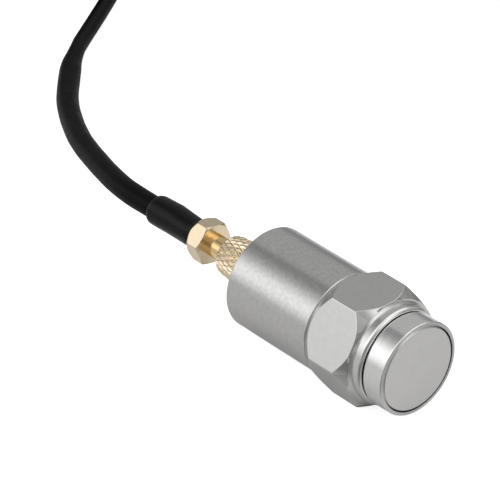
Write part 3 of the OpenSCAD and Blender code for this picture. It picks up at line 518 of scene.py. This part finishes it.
def make_plug_body():
    """Neck, small hexagon and crimp stem of the plug, with an attribute that marks the neck."""
    apothem, round_edge = 3.175, 0.3
    corner = apothem / math.cos(math.pi / 6)
    flat_at = math.radians(48.7)
    neck_r, neck_bore_r, stem_r, stem_bore_r = 1.85, 1.42, 1.25, 0.95
    # Radii of the hexagon's front face, and the front chamfer's length for its height
    face_start_r, face_r, front_slope = 2.2, 3.2, 0.6
    # Length of the back chamfer, and its height for its length
    back_chamfer, back_slope = 0.85, 0.7

    def profile(a):
        r = hex_radius(a, flat_at, apothem, round_edge)
        front = S_SMALL_HEX + max(0.02, (r - face_r) * front_slope)
        back = S_STEM - back_chamfer + (corner - r) / back_slope
        hexagon = soften(
            [(S_SMALL_HEX, face_start_r), (S_SMALL_HEX, min(r - 0.01, face_r)), (front, r), (back, r),
             (S_STEM, corner - back_chamfer * back_slope), (S_STEM, stem_r)], 0.03, closed=False)
        neck = [(S_BARREL, neck_bore_r), (S_BARREL, neck_r), (S_STEP, neck_r), (S_SMALL_HEX - 0.02, neck_r)]
        stem = [(S_END, stem_r), (S_END, stem_bore_r), (S_STEP, stem_bore_r), (S_STEP, neck_bore_r)]
        return neck + hexagon + stem

    obj = lathe("plug_neck_and_hexagon", profile, hex_angles(flat_at, apothem, round_edge, 16), sharp=30)
    # The mark tells where the painted neck reflection goes.
    marked = obj.data.attributes.new("neck", "FLOAT", "POINT").data
    for vert, mark in zip(obj.data.vertices, marked):
        r = math.hypot(vert.co.x / MM, vert.co.z / MM - AXIS_Z)
        on_neck = abs(r - neck_r) < 0.05 and station(vert.co) < S_SMALL_HEX
        mark.value = 1.0 if on_neck else 0.0
    return obj


# Knurl: diamonds round the nut and along it, and the steps in a diamond each way
KNURL_AROUND, KNURL_ROWS = 24, 7
KNURL_FINE, KNURL_CELLS = 16, 8
# Radius of the crests in the nut's middle, depth of the grooves, fall of the crown and bevel of the ends
KNURL_R, KNURL_DEPTH, KNURL_CROWN, KNURL_BEVEL = 3.475, 0.2, 0.3, 0.25
# Half a groove's width as a share of a diamond, and the curve of its wall
GROOVE_WIDE, GROOVE_CURVE = 0.32, 1.25


def groove_distances(turn, row):
    """How far a place in the knurl lies from the next groove of either slant, in diamonds."""
    return [abs(p - round(p)) for p in (turn - row / 2, turn + row / 2)]


def knurl_radius(turn, row):
    """Radius of the knurl's surface at so many diamonds round the nut and along it."""
    z = NUT_LENGTH * row / KNURL_ROWS
    fall = KNURL_CROWN * (2 * z / NUT_LENGTH - 1) ** 2
    cut = max(0.0, 1 - min(groove_distances(turn, row)) / GROOVE_WIDE)
    end_r = KNURL_R - KNURL_CROWN - KNURL_DEPTH + 0.03
    limit = end_r + min(z, NUT_LENGTH - z) / KNURL_BEVEL * KNURL_DEPTH
    return min(KNURL_R - fall - KNURL_DEPTH * cut ** GROOVE_CURVE, limit)


def make_nut():
    """Diamond knurl as a relief on a crowned cylinder, with its grid along the grooves."""
    mouth_r, neck_r, bore_r, rear_mouth_r, bore_end = 2.8, 1.88, 2.53, 2.3, 5.75
    bore = [(NUT_LENGTH, rear_mouth_r), (NUT_LENGTH - KNURL_BEVEL, neck_r), (bore_end, neck_r),
            (bore_end, bore_r), (KNURL_BEVEL, bore_r), (0, mouth_r)]
    columns, lines = KNURL_AROUND * KNURL_FINE, KNURL_ROWS * KNURL_CELLS
    rings = []
    for j in range(lines + 1):
        rings.append((NUT_LENGTH * j / lines,
                      [knurl_radius(i / KNURL_FINE, j / KNURL_CELLS) for i in range(columns)]))
    for z, r in bore:
        rings.append((z, [r] * columns))
    verts = []
    for z, ring in rings:
        verts += [on_sensor(S_NUT + z, r, 2 * math.pi * i / columns) for i, r in enumerate(ring)]
    faces = []
    for j in range(len(rings)):
        for i in range(columns):
            k = (i + 1) % columns
            a, b = j * columns + i, j * columns + k
            c, d = (j + 1) % len(rings) * columns + k, (j + 1) % len(rings) * columns + i
            if j >= lines:
                faces.append((a, b, c, d))
                continue
            near = groove_distances((i + 0.5) / KNURL_FINE, (j + 0.5) / KNURL_CELLS)
            faces += [(a, b, c), (a, c, d)] if near[0] < near[1] else [(a, b, d), (b, c, d)]
    return facing_out(new_mesh("knurled_nut", verts, faces, sharp=22))


def make_shrink():
    """Short thick shrink tube: swollen over the crimp on one side, and drawn in at its end."""
    inner_r, sleeve_r = 1.92, 1.88
    outline = [(0, inner_r), (0, 2.2), (0.12, 2.33), (1.9, 2.35), (4.4, 2.36), (6.4, 2.38), (8.4, 2.40),
               (9.8, 2.42), (10.3, 2.40), (10.65, 2.28), (10.9, 2.08), (11, 1.98), (11, 1.9),
               (STEM_LENGTH, sleeve_r), (STEM_LENGTH, inner_r)]
    # Bulge: its height, its middle, its length and the angle where it is highest
    bulge, bulge_at, bulge_long, bulge_turn = 0.26, 6.4, 3.2, -math.pi / 4
    # Radius from which the tube is uneven
    uneven_from = 2.1

    def profile(a):
        made = []
        for along, r in outline:
            s = S_STEM + along
            if r > uneven_from:
                dent = 0.012 * math.sin(3 * a + s) + 0.010 * math.sin(5 * a - 2.1 * s)
                side = max(0.0, math.cos(a - bulge_turn))
                r += dent + bulge * side * math.exp(-((along - bulge_at) / bulge_long) ** 2)
            made.append((s, r))
        return made

    return lathe("shrink_collar", profile, even_angles(72), sharp=60)


def sweep(name, points, radius, sides=40, sharp=60.0):
    """A closed tube along points. Its radius depends on the share of the way and the angle."""
    verts, faces = [], []
    side = None
    n = len(points)
    for i, p in enumerate(points):
        d = (points[min(i + 1, n - 1)] - points[max(i - 1, 0)]).normalized()
        side = (side - d * side.dot(d)).normalized() if side else d.cross(Vector((0, 0, 1))).normalized()
        up = side.cross(d)
        for k in range(sides):
            a = 2 * math.pi * k / sides
            verts.append((p + (side * math.cos(a) + up * math.sin(a)) * radius(i / (n - 1), a)) * MM)
    for i in range(n - 1):
        for k in range(sides):
            j = (k + 1) % sides
            faces.append([i * sides + k, i * sides + j, (i + 1) * sides + j, (i + 1) * sides + k])
    faces.append(list(range(sides))[::-1])
    faces.append([(n - 1) * sides + k for k in range(sides)])
    return facing_out(new_mesh(name, verts, faces, sharp))


def make_sleeve():
    """Long sleeve: a little uneven, thicker from its middle on, and tapered to the cable at its end."""
    start_r, thicker, end_r = 1.84, 0.07, 1.42
    taper_from = 0.885

    def radius(t, a):
        r = start_r + thicker * min(1, t * 2)
        r += 0.012 * math.sin(23 * t + a) + 0.010 * math.sin(61 * t - 2 * a)
        return r - (r - end_r) * eased((t - taper_from) / (1 - taper_from))

    return sweep("long_sleeve", smooth_path(SLEEVE_ROUTE, 0.6), radius)


# Straps round the coil: radii and heights of their middle line, the radius of its bends and their steps
TIE_INNER, TIE_OUTER = 9.95, 22.3
TIE_LOW, TIE_TOP = 0.3, 11.0
TIE_BEND, TIE_STEPS = 1.6, 8
# Width, thickness and bevel of a strap, how far its end lies over its start, and how narrow it ends
TIE_WIDE, TIE_THICK, TIE_BEVEL = 3.6, 0.55, 0.15
TIE_OVERLAP, TIE_NARROW = 6.0, 0.7
# Where the straps sit round the coil
TIE_ANGLES = (200, 5)


def tie_loop():
    """The strap's closed middle line round the coil's bundle, as (radius, height) points."""
    inner, outer = TIE_INNER + TIE_BEND, TIE_OUTER - TIE_BEND
    low, high = TIE_LOW + TIE_BEND, TIE_TOP - TIE_BEND
    loop = []
    for r, z, start in ((outer, low, -90), (outer, high, 0), (inner, high, 90), (inner, low, 180)):
        for k in range(TIE_STEPS + 1):
            a = math.radians(start + 90 * k / TIE_STEPS)
            loop.append((r + TIE_BEND * math.cos(a), z + TIE_BEND * math.sin(a)))
    return loop + [loop[0]]


def tie_end():
    """The middle line of the strap's end, which comes up from the loop and lies on top of it."""
    outer = TIE_OUTER - TIE_BEND
    level = TIE_TOP + TIE_THICK + 0.02
    return [(outer + 0.6, TIE_TOP - 0.3), (outer - 0.4, TIE_TOP + 0.35), (outer - 2, level),
            (outer - TIE_OVERLAP, level)]


def strap(path, narrow, place, verts, faces):
    """Adds a strap along a middle line, with its last end as narrow as given."""
    first = len(verts)
    x, z = TIE_WIDE / 2, TIE_THICK / 2
    flat = x - TIE_BEVEL
    section = [(-x, 0), (-flat, z), (flat, z), (x, 0), (flat, -z), (-flat, -z)]
    for i, (r, height) in enumerate(path):
        a, b = path[max(i - 1, 0)], path[min(i + 1, len(path) - 1)]
        if path[0] == path[-1] and i in (0, len(path) - 1):
            a, b = path[-2], path[1]
        out = Vector((b[1] - a[1], a[0] - b[0])).normalized()
        width = narrow if i == len(path) - 1 else 1.0
        for across, rise in section:
            at = place @ Vector((r + out.x * rise, across * width, height + out.y * rise))
            verts.append((Vector((*COIL_AT, 0)) + at) * MM)
    n = len(section)
    for i in range(first, first + (len(path) - 1) * n, n):
        for k in range(n):
            j = (k + 1) % n
            faces.append([i + k, i + j, i + n + j, i + n + k])
    faces.append([first + k for k in range(n)][::-1])
    faces.append([first + (len(path) - 1) * n + k for k in range(n)])


def make_tie(angle):
    """A soft strap round the coil's bundle, with its end laid over its start on top."""
    place = Matrix.Rotation(angle, 3, "Z")
    verts, faces = [], []
    strap(tie_loop(), 1.0, place, verts, faces)
    strap(tie_end(), TIE_NARROW, place, verts, faces)
    return new_mesh("coil_tie", verts, faces, sharp=30)


pot = make_pot()
magnet = make_magnet()
resin = make_resin()
base = make_base()
housing = make_housing()
plug_body = make_plug_body()
nut = make_nut()
shrink = make_shrink()
sleeve = make_sleeve()
ties = [make_tie(math.radians(angle)) for angle in TIE_ANGLES]


# Materials

class Tree:
    """Short hand for building a node tree."""

    def __init__(self, tree):
        self.tree = tree

    def add(self, kind, **values):
        """A new node with some of its values set."""
        node = self.tree.nodes.new(kind)
        for key, value in values.items():
            setattr(node, key, value)
        return node

    def link(self, a, b):
        """Connects an output to an input."""
        self.tree.links.new(a, b)

    def put(self, value, socket):
        """Gives a socket another socket's output, a colour or a number."""
        if isinstance(value, bpy.types.NodeSocket):
            self.link(value, socket)
        elif isinstance(value, tuple):
            socket.default_value = (*value, 1)
        else:
            socket.default_value = value

    def calculated(self, kind, *values):
        """The result of a math node for sockets and numbers."""
        node = self.add("ShaderNodeMath", operation=kind)
        for value, socket in zip(values, node.inputs):
            self.put(value, socket)
        return node.outputs[0]

    def ranged(self, value, low, high, start=0.0, end=1.0, way="LINEAR"):
        """A value that goes from low to high while the given one goes from start to end."""
        node = self.add("ShaderNodeMapRange", interpolation_type=way)
        node.inputs["From Min"].default_value = start
        node.inputs["From Max"].default_value = end
        node.inputs["To Min"].default_value = low
        node.inputs["To Max"].default_value = high
        self.link(value, node.inputs["Value"])
        return node.outputs["Result"]


class Nodes(Tree):
    """Short hand for building one node material."""

    def __init__(self, name):
        self.mat = bpy.data.materials.new(name)
        self.mat.use_nodes = True
        super().__init__(self.mat.node_tree)
        self.shader = self.tree.nodes["Principled BSDF"]
        self.object = self.add("ShaderNodeTexCoord").outputs["Object"]

    def scaled(self, scale):
        """Object coordinates in millimetres, stretched by scale."""
        node = self.add("ShaderNodeMapping")
        node.inputs["Scale"].default_value = [x / MM for x in scale]
        self.link(self.object, node.inputs["Vector"])
        return node.outputs["Vector"]

    def noise(self, size, detail=3.0, rough=0.5, stretch=(1, 1, 1)):
        """Noise whose features are about size millimetres across."""
        node = self.add("ShaderNodeTexNoise")
        node.inputs["Scale"].default_value = 1.0 / size
        node.inputs["Detail"].default_value = detail
        node.inputs["Roughness"].default_value = rough
        self.link(self.scaled(stretch), node.inputs["Vector"])
        return node.outputs["Fac"]

    def marked(self, name):
        """The value of a mesh's attribute."""
        return self.add("ShaderNodeAttribute", attribute_name=name).outputs["Fac"]

    def mixed(self, factor, a, b):
        """A colour between two colours."""
        node = self.add("ShaderNodeMix", data_type="RGBA")
        self.link(factor, node.inputs[0])
        self.put(a, node.inputs[6])
        self.put(b, node.inputs[7])
        return node.outputs[2]

    def between(self, factor, a, b):
        """A number between two numbers."""
        node = self.add("ShaderNodeMix", data_type="FLOAT")
        self.link(factor, node.inputs[0])
        self.put(a, node.inputs[2])
        self.put(b, node.inputs[3])
        return node.outputs[0]

    def bump(self, height, strength, distance):
        """Relief of a depth in millimetres on the shader's surface."""
        node = self.add("ShaderNodeBump")
        node.inputs["Strength"].default_value = strength
        node.inputs["Distance"].default_value = distance * MM
        self.link(height, node.inputs["Height"])
        self.link(node.outputs["Normal"], self.shader.inputs["Normal"])


# The part of a noise's range that is used, since its values lie round 0.5
NOISE_LOW, NOISE_HIGH = 0.3, 0.7


def shaded(name, dark, light, metal, rough, size=1.0, grain=0.12, strength=0.15, distance=0.01,
           spread=0.05, stretch=(1, 1, 1), specular=None, wear_and_highlight=None):
    """A material whose colour, roughness and surface all vary a little.

    Its edges may take another colour, for their wear and a painted highlight on them."""
    m = Nodes(name)
    m.shader.inputs["Metallic"].default_value = metal
    if specular is not None:
        m.shader.inputs["Specular IOR Level"].default_value = specular
    cloud = m.ranged(m.noise(size, 4.0, 0.6, stretch), 0, 1, NOISE_LOW, NOISE_HIGH)
    colour = m.mixed(cloud, dark, light)
    # Marked edges take the edge colour: partly wear, partly a painted highlight.
    if wear_and_highlight:
        colour = m.mixed(m.marked("edge"), colour, wear_and_highlight)
    m.link(colour, m.shader.inputs["Base Color"])
    patches = m.noise(size * 0.6, 3.0, 0.5, stretch)
    m.link(m.ranged(patches, rough - spread, rough + spread, NOISE_LOW, NOISE_HIGH),
           m.shader.inputs["Roughness"])
    m.bump(m.noise(grain, 3.0, 0.6, stretch), strength, distance)
    return m


def paint_neck_reflection(made, shade, rough):
    """A painted reflection colour and another roughness for a material where the attribute "neck" is 1."""
    for name, mix, value in (("Base Color", made.mixed, shade), ("Roughness", made.between, rough)):
        socket = made.shader.inputs[name]
        made.link(mix(made.marked("neck"), socket.links[0].from_socket, value), socket)
    return made


def turned(made, amount):
    """Stretches reflections across the fine rings that a lathe leaves about the Y axis."""
    made.shader.inputs["Anisotropic"].default_value = amount
    made.shader.inputs["Anisotropic Rotation"].default_value = 0.25
    rings = made.add("ShaderNodeTangent", direction_type="RADIAL", axis="Y")
    made.link(rings.outputs["Tangent"], made.shader.inputs["Tangent"])
    return made


def grey(x, warm=0.0):
    """A grey of a strength, or a warmer one."""
    return (x, x * (1 - 0.3 * warm), x * (1 - warm))


# Metals of the sensor

# The edge colour of each metal is partly wear, partly a painted highlight on its edges.
satin_steel = shaded(
    "satin steel", grey(0.615, 0.02), grey(0.645, 0.02),
    metal=1.0, rough=0.20, size=0.9, grain=0.35, strength=1.0, distance=0.0015, spread=0.02,
    wear_and_highlight=grey(0.95, 0.02))
mottled_steel = shaded(
    "satin steel of the housing", grey(0.585, 0.02), grey(0.675, 0.02),
    metal=1.0, rough=0.22, size=0.6, grain=0.6, strength=1.0, distance=0.011, spread=0.05,
    wear_and_highlight=grey(0.90, 0.02))
turned_steel = shaded(
    "turned steel", grey(0.82, 0.01), grey(0.88, 0.01),
    metal=1.0, rough=0.16, size=0.5, grain=0.12, strength=0.5, distance=0.003, spread=0.03,
    stretch=(0.15, 1, 0.15), wear_and_highlight=grey(0.95, 0.01))
# The rim's face is the pot's steel painted darker than its side: painted shade; its stretched reflections
# are the turned rings.
turned_rim = turned(shaded(
    "turned rim", grey(0.60, 0.01), grey(0.66, 0.01),
    metal=1.0, rough=0.42, size=0.5, grain=0.12, strength=0.3, distance=0.002, spread=0.03,
    wear_and_highlight=grey(0.85, 0.01)), 0.85)
nickel = shaded(
    "satin nickel", grey(0.635, 0.03), grey(0.655, 0.03),
    metal=1.0, rough=0.32, size=2.5, grain=0.3, strength=0.1, distance=0.003, wear_and_highlight=grey(0.95, 0.03))


def gold_plating(name):
    """Pale polished gold."""
    return shaded(name, (0.775, 0.645, 0.46), (0.81, 0.68, 0.49), metal=1.0, rough=0.20, size=1.0,
                  grain=0.5, strength=0.3, distance=0.002, spread=0.02)


gold = gold_plating("polished gold plating")
# The plug's neck gets a deeper gold: a painted warm reflection on the same plating.
plug_gold = paint_neck_reflection(gold_plating("gold plating of the plug"), (0.90, 0.66, 0.33), 0.16)

# Black tubes, cable and resin

sleeve_black = shaded(
    "satin black sleeve", (0.0012, 0.0012, 0.0011), (0.0028, 0.0028, 0.0025),
    metal=0.0, rough=0.42, size=2.0, grain=0.35, strength=0.25, distance=0.02, spread=0.06,
    specular=0.08)
shrink_black = shaded(
    "smooth black shrink tube", grey(0.001), grey(0.002),
    metal=0.0, rough=0.28, size=2.0, grain=0.6, strength=0.2, distance=0.02, spread=0.05,
    specular=0.19)
cable_black = shaded(
    "black cable jacket", grey(0.001), grey(0.002),
    metal=0.0, rough=0.38, size=3.0, grain=0.5, strength=0.15, distance=0.015, spread=0.05,
    specular=0.09)
boot_black = shaded(
    "matt black rubber", grey(0.016), grey(0.026),
    metal=0.0, rough=0.62, size=1.5, grain=0.2, strength=0.3, distance=0.02)
resin_black = shaded(
    "black resin", grey(0.006), grey(0.014),
    metal=0.0, rough=0.5, size=0.8, grain=0.2, strength=0.2, distance=0.02)

# Pieces inside the sensor and the plugs

plain_steel = shaded(
    "plain steel", grey(0.42), grey(0.52),
    metal=1.0, rough=0.36, size=0.8, grain=0.12, strength=0.15, distance=0.01)
heavy_alloy = shaded(
    "ground heavy alloy", grey(0.34), grey(0.42),
    metal=1.0, rough=0.42, size=0.7, grain=0.1, strength=0.2, distance=0.01, stretch=(0.2, 1, 0.2))
ceramic = shaded(
    "fired ceramic", (0.74, 0.70, 0.58), (0.82, 0.78, 0.66),
    metal=0.0, rough=0.55, size=0.4, grain=0.08, strength=0.15, distance=0.008)
bronze = shaded(
    "rolled bronze", (0.62, 0.42, 0.20), (0.74, 0.52, 0.28),
    metal=1.0, rough=0.30, size=0.8, grain=0.1, strength=0.1, distance=0.006, stretch=(1, 1, 0.2))
white_plastic = shaded(
    "white fluoropolymer", (0.80, 0.80, 0.78), (0.88, 0.88, 0.86),
    metal=0.0, rough=0.45, size=1.0, grain=0.15, strength=0.08, distance=0.01)
tinned = shaded(
    "tinned sheet", grey(0.60, 0.06), grey(0.72, 0.05),
    metal=1.0, rough=0.32, size=0.7, grain=0.1, strength=0.12, distance=0.008)
laminate = shaded(
    "green laminate", (0.012, 0.10, 0.045), (0.02, 0.15, 0.07),
    metal=0.0, rough=0.35, size=0.9, grain=0.12, strength=0.1, distance=0.006)
chip_black = shaded(
    "moulded chip plastic", (0.02, 0.02, 0.022), (0.035, 0.035, 0.037),
    metal=0.0, rough=0.6, size=0.5, grain=0.08, strength=0.25, distance=0.01)
wire_red = shaded(
    "red wire insulation", (0.42, 0.03, 0.02), (0.52, 0.05, 0.03),
    metal=0.0, rough=0.4, size=0.5, grain=0.1, strength=0.1, distance=0.006)
red_rubber = shaded(
    "red silicone rubber", (0.36, 0.03, 0.02), (0.45, 0.05, 0.03),
    metal=0.0, rough=0.55, size=0.6, grain=0.12, strength=0.2, distance=0.01)
braid = shaded(
    "tinned braid", grey(0.40, 0.05), grey(0.66, 0.04),
    metal=1.0, rough=0.4, size=0.25, grain=0.18, strength=0.6, distance=0.05)

SLOT_MATERIALS = {
    "satin_steel": satin_steel, "turned_steel": turned_steel, "nickel_plate": nickel,
    "black_resin": resin_black, "plain_steel": plain_steel, "heavy_alloy": heavy_alloy,
    "piezo_ceramic": ceramic, "bronze_sheet": bronze, "white_plastic": white_plastic,
    "tinned_sheet": tinned, "green_laminate": laminate, "chip_plastic": chip_black,
    "red_lead": wire_red, "gold_plate": gold, "braid": braid, "black_sleeve": sleeve_black,
    "black_jacket": cable_black, "black_rubber": boot_black, "red_rubber": red_rubber,
}

for row in frame["record"]["subparts"]:
    for place in NODES[row["node"]].material_slots:
        place.material = SLOT_MATERIALS[row["material_slot"]].mat


# Finished pieces

def paint_front(obj, made):
    """Gives the faces in front of the rim's end a material of their own."""
    obj.data.materials.append(made.mat)
    for face in obj.data.polygons:
        face.material_index = int(station(face.center) < S_RIM_END)


def dress(obj, slot, body, *nodes, made=None, rim=None):
    """A finished piece: its material, the slot's unless another is given, the nodes it stands for and the
    body it rides on.
    """
    obj.data.materials.clear()
    obj.data.materials.append((made or SLOT_MATERIALS[slot]).mat)
    if rim:
        paint_front(obj, rim)
    if nodes:
        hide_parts(*nodes)
    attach(obj, body)


dress(pot, "turned_steel", "sensor", "magnet_pot", rim=turned_rim)
dress(magnet, "nickel_plate", "sensor", "magnet_disc")
dress(resin, "black_resin", "sensor", "resin_ring")
dress(base, "satin_steel", "sensor", "sensor_base")
dress(housing, "satin_steel", "sensor", "sensor_housing", made=mottled_steel)
dress(plug_body, "gold_plate", "sensor", "plug_body", made=plug_gold)
dress(nut, "gold_plate", "nut", "coupling_nut")
dress(shrink, "black_sleeve", "sensor", "shrink_tube", made=shrink_black)
dress(sleeve, "black_sleeve", "sensor", "cable_sleeve")
dress(lead, "black_jacket", "sensor", "cable", "cable_coil", "cable_tail")

for number, tie in enumerate(ties):
    tie.name = "coil_tie_" + str(number + 1)
    dress(tie, "black_sleeve", "sensor")


# Floor

# Light that the floor adds for the camera
FLOOR_WHITE = 0.78
# Painted reflections: cards on the floor that glow only for reflections, edges along X and Y in
# millimetres, and strength
PAINTED_FLOOR_REFLECTIONS = [((-9, 40), (-75, -27), 0.16), ((5, 40), (-6, 30), 0.40), ((-14, 3), (19, 34), 0.24)]
# Darker part of the floor at the front left, painted shade for what reflections see there, and the floor's
# two colours
PAINTED_FLOOR_SHADE = ((-120, -12), (-120, -25), 1.0)
FLOOR_COLOURS = (grey(0.76), grey(0.30))
# Half the width of a card's soft edge in millimetres
CARD_EDGE = 2
# Edges of the floor in metres: a table that ends beside the sensor
FLOOR_EDGES = (-1.2, 0.095, -1.2, 1.2)
FLOOR_ROUGH = 0.9


def card_light(m, place, along_x, along_y, strength):
    """The strength of one card, which falls to 0 over its soft edges."""
    light = None
    for axis, (start, end) in (("X", along_x), ("Y", along_y)):
        for edge, inwards in ((start, CARD_EDGE), (end, -CARD_EDGE)):
            side = m.ranged(place.outputs[axis], 0, 1, (edge - inwards) * MM, (edge + inwards) * MM)
            light = m.ranged(side, 0, strength) if light is None else m.calculated("MULTIPLY", light, side)
    return light


def all_cards(m, place, cards):
    """The strength of all cards together."""
    total = None
    for card in cards:
        light = card_light(m, place, *card)
        total = light if total is None else m.calculated("ADD", total, light)
    return total


def floor_material():
    """Pale floor that the camera sees as white, with cards that glow only for reflections as painted
    reflections, and a patch of painted shade.
    """
    m = Nodes("pale floor")
    m.shader.inputs["Roughness"].default_value = FLOOR_ROUGH
    m.shader.inputs["Specular IOR Level"].default_value = 0.0
    place = m.add("ShaderNodeSeparateXYZ")
    m.link(m.object, place.inputs[0])
    # The darker patch is painted shade.
    m.link(m.mixed(all_cards(m, place, [PAINTED_FLOOR_SHADE]), *FLOOR_COLOURS), m.shader.inputs["Base Color"])
    light = m.add("ShaderNodeLightPath")
    # Painted reflections: the cards glow only for glossy rays.
    cards = m.calculated("MULTIPLY", light.outputs["Is Glossy Ray"], all_cards(m, place, PAINTED_FLOOR_REFLECTIONS))
    seen = m.calculated("MAXIMUM", light.outputs["Is Camera Ray"], light.outputs["Is Transmission Ray"])
    emission = m.add("ShaderNodeEmission")
    m.link(m.calculated("MULTIPLY_ADD", seen, FLOOR_WHITE, cards), emission.inputs["Strength"])
    both = m.add("ShaderNodeAddShader")
    m.link(m.shader.outputs[0], both.inputs[0])
    m.link(emission.outputs[0], both.inputs[1])
    m.link(both.outputs[0], m.tree.nodes["Material Output"].inputs["Surface"])
    return m


def make_floor():
    """One flat sheet at Z 0."""
    left, right, front, back = FLOOR_EDGES
    corners = [(left, front, 0), (right, front, 0), (right, back, 0), (left, back, 0)]
    mesh = bpy.data.meshes.new("floor")
    mesh.from_pydata(corners, [], [(0, 1, 2, 3)])
    mesh.materials.append(floor_material().mat)
    floor = bpy.data.objects.new("floor", mesh)
    scene.collection.objects.link(floor)


make_floor()


# World, which gives all light but the floor's own

# Round soft boxes: direction, strength, and where each starts and ends to fade, in degrees from its middle
SOFT_BOXES = [
    ((0.22, -0.76, 0.61), 1.1, 6, 29),
    ((-0.30, -0.62, 0.72), 0.28, 14, 34),
]
# Long soft box beside the sensor: its angle from up towards -X, its strength, its falloff and its fade
# along the sensor
STRIP = (58.5, 1.28, 7.5, (-0.5, 0.1))
# White wall on the right and overhead: the angle of its edge, its strength, and the fades at that edge
# and low down
WALL = (-4.0, 0.25, (-0.05, 0.07), (0.0, 0.30))
# Soft box across the ceiling: its strength, and how it fades along the sensor and towards the horizon
CEILING = (0.85, (0.50, 0.30), (0.40, 0.62))
# Light from everywhere in the room, and what reflections see of the white background on top of it
ROOM, BACKGROUND = 0.20, 0.12


def cosine(degrees):
    """Cosine of an angle in degrees."""
    return math.cos(math.radians(degrees))


def around(degrees):
    """A direction by its angle from up towards -X."""
    return (-math.sin(math.radians(degrees)), 0, math.cos(math.radians(degrees)))


def vector(t, kind, a, b=(0, 0, 0)):
    """The result of a vector math node for a socket and a vector."""
    node = t.add("ShaderNodeVectorMath", operation=kind)
    t.link(a, node.inputs[0])
    node.inputs[1].default_value = b
    return node.outputs["Value" if kind == "DOT_PRODUCT" else "Vector"]


def fade(t, value, start, end, strength=1.0):
    """A smooth rise from 0 to a strength while the value goes from start to end."""
    return t.ranged(value, 0.0, strength, start, end, "SMOOTHSTEP")


def studio_light(t, glossy):
    """The strength of the room's light from every direction."""
    where = t.add("ShaderNodeTexCoord").outputs["Generated"]
    split = t.add("ShaderNodeSeparateXYZ")
    t.link(where, split.inputs[0])
    y, z = split.outputs["Y"], split.outputs["Z"]
    total = t.calculated("MULTIPLY_ADD", glossy, BACKGROUND, ROOM)
    for direction, strength, inner, outer in SOFT_BOXES:
        near = vector(t, "DOT_PRODUCT", where, Vector(direction).normalized())
        total = t.calculated("ADD", total, fade(t, near, cosine(outer), cosine(inner), strength))
    angle, strength, falloff, along = STRIP
    level = vector(t, "NORMALIZE", vector(t, "MULTIPLY", where, (1, 0, 1)))
    near = t.calculated("MAXIMUM", vector(t, "DOT_PRODUCT", level, around(angle)), 0.0)
    strip = t.calculated("MULTIPLY", t.calculated("POWER", near, falloff), fade(t, y, *along, strength))
    total = t.calculated("ADD", total, strip)
    angle, strength, edge, low = WALL
    wall = fade(t, vector(t, "DOT_PRODUCT", where, around(angle - 90)), *edge, strength)
    total = t.calculated("MULTIPLY_ADD", wall, fade(t, z, *low), total)
    strength, along, low = CEILING
    near = fade(t, t.calculated("ABSOLUTE", y), *along, strength)
    return t.calculated("MULTIPLY_ADD", near, fade(t, z, *low), total)


def make_world():
    """A white background for the camera, and the room's light for everything else."""
    world = bpy.data.worlds.new("studio")
    scene.world = world
    world.use_nodes = True
    world.node_tree.nodes.clear()
    t = Tree(world.node_tree)
    light = t.add("ShaderNodeLightPath")
    studio = t.add("ShaderNodeBackground")
    t.link(studio_light(t, light.outputs["Is Glossy Ray"]), studio.inputs["Strength"])
    white = t.add("ShaderNodeBackground")
    white.inputs["Color"].default_value = (1, 1, 1, 1)
    white.inputs["Strength"].default_value = 1.0
    shown = t.calculated("MAXIMUM", light.outputs["Is Camera Ray"], light.outputs["Is Transmission Ray"])
    mix = t.add("ShaderNodeMixShader")
    t.link(shown, mix.inputs[0])
    t.link(studio.outputs[0], mix.inputs[1])
    t.link(white.outputs[0], mix.inputs[2])
    t.link(mix.outputs[0], t.add("ShaderNodeOutputWorld").inputs["Surface"])


make_world()
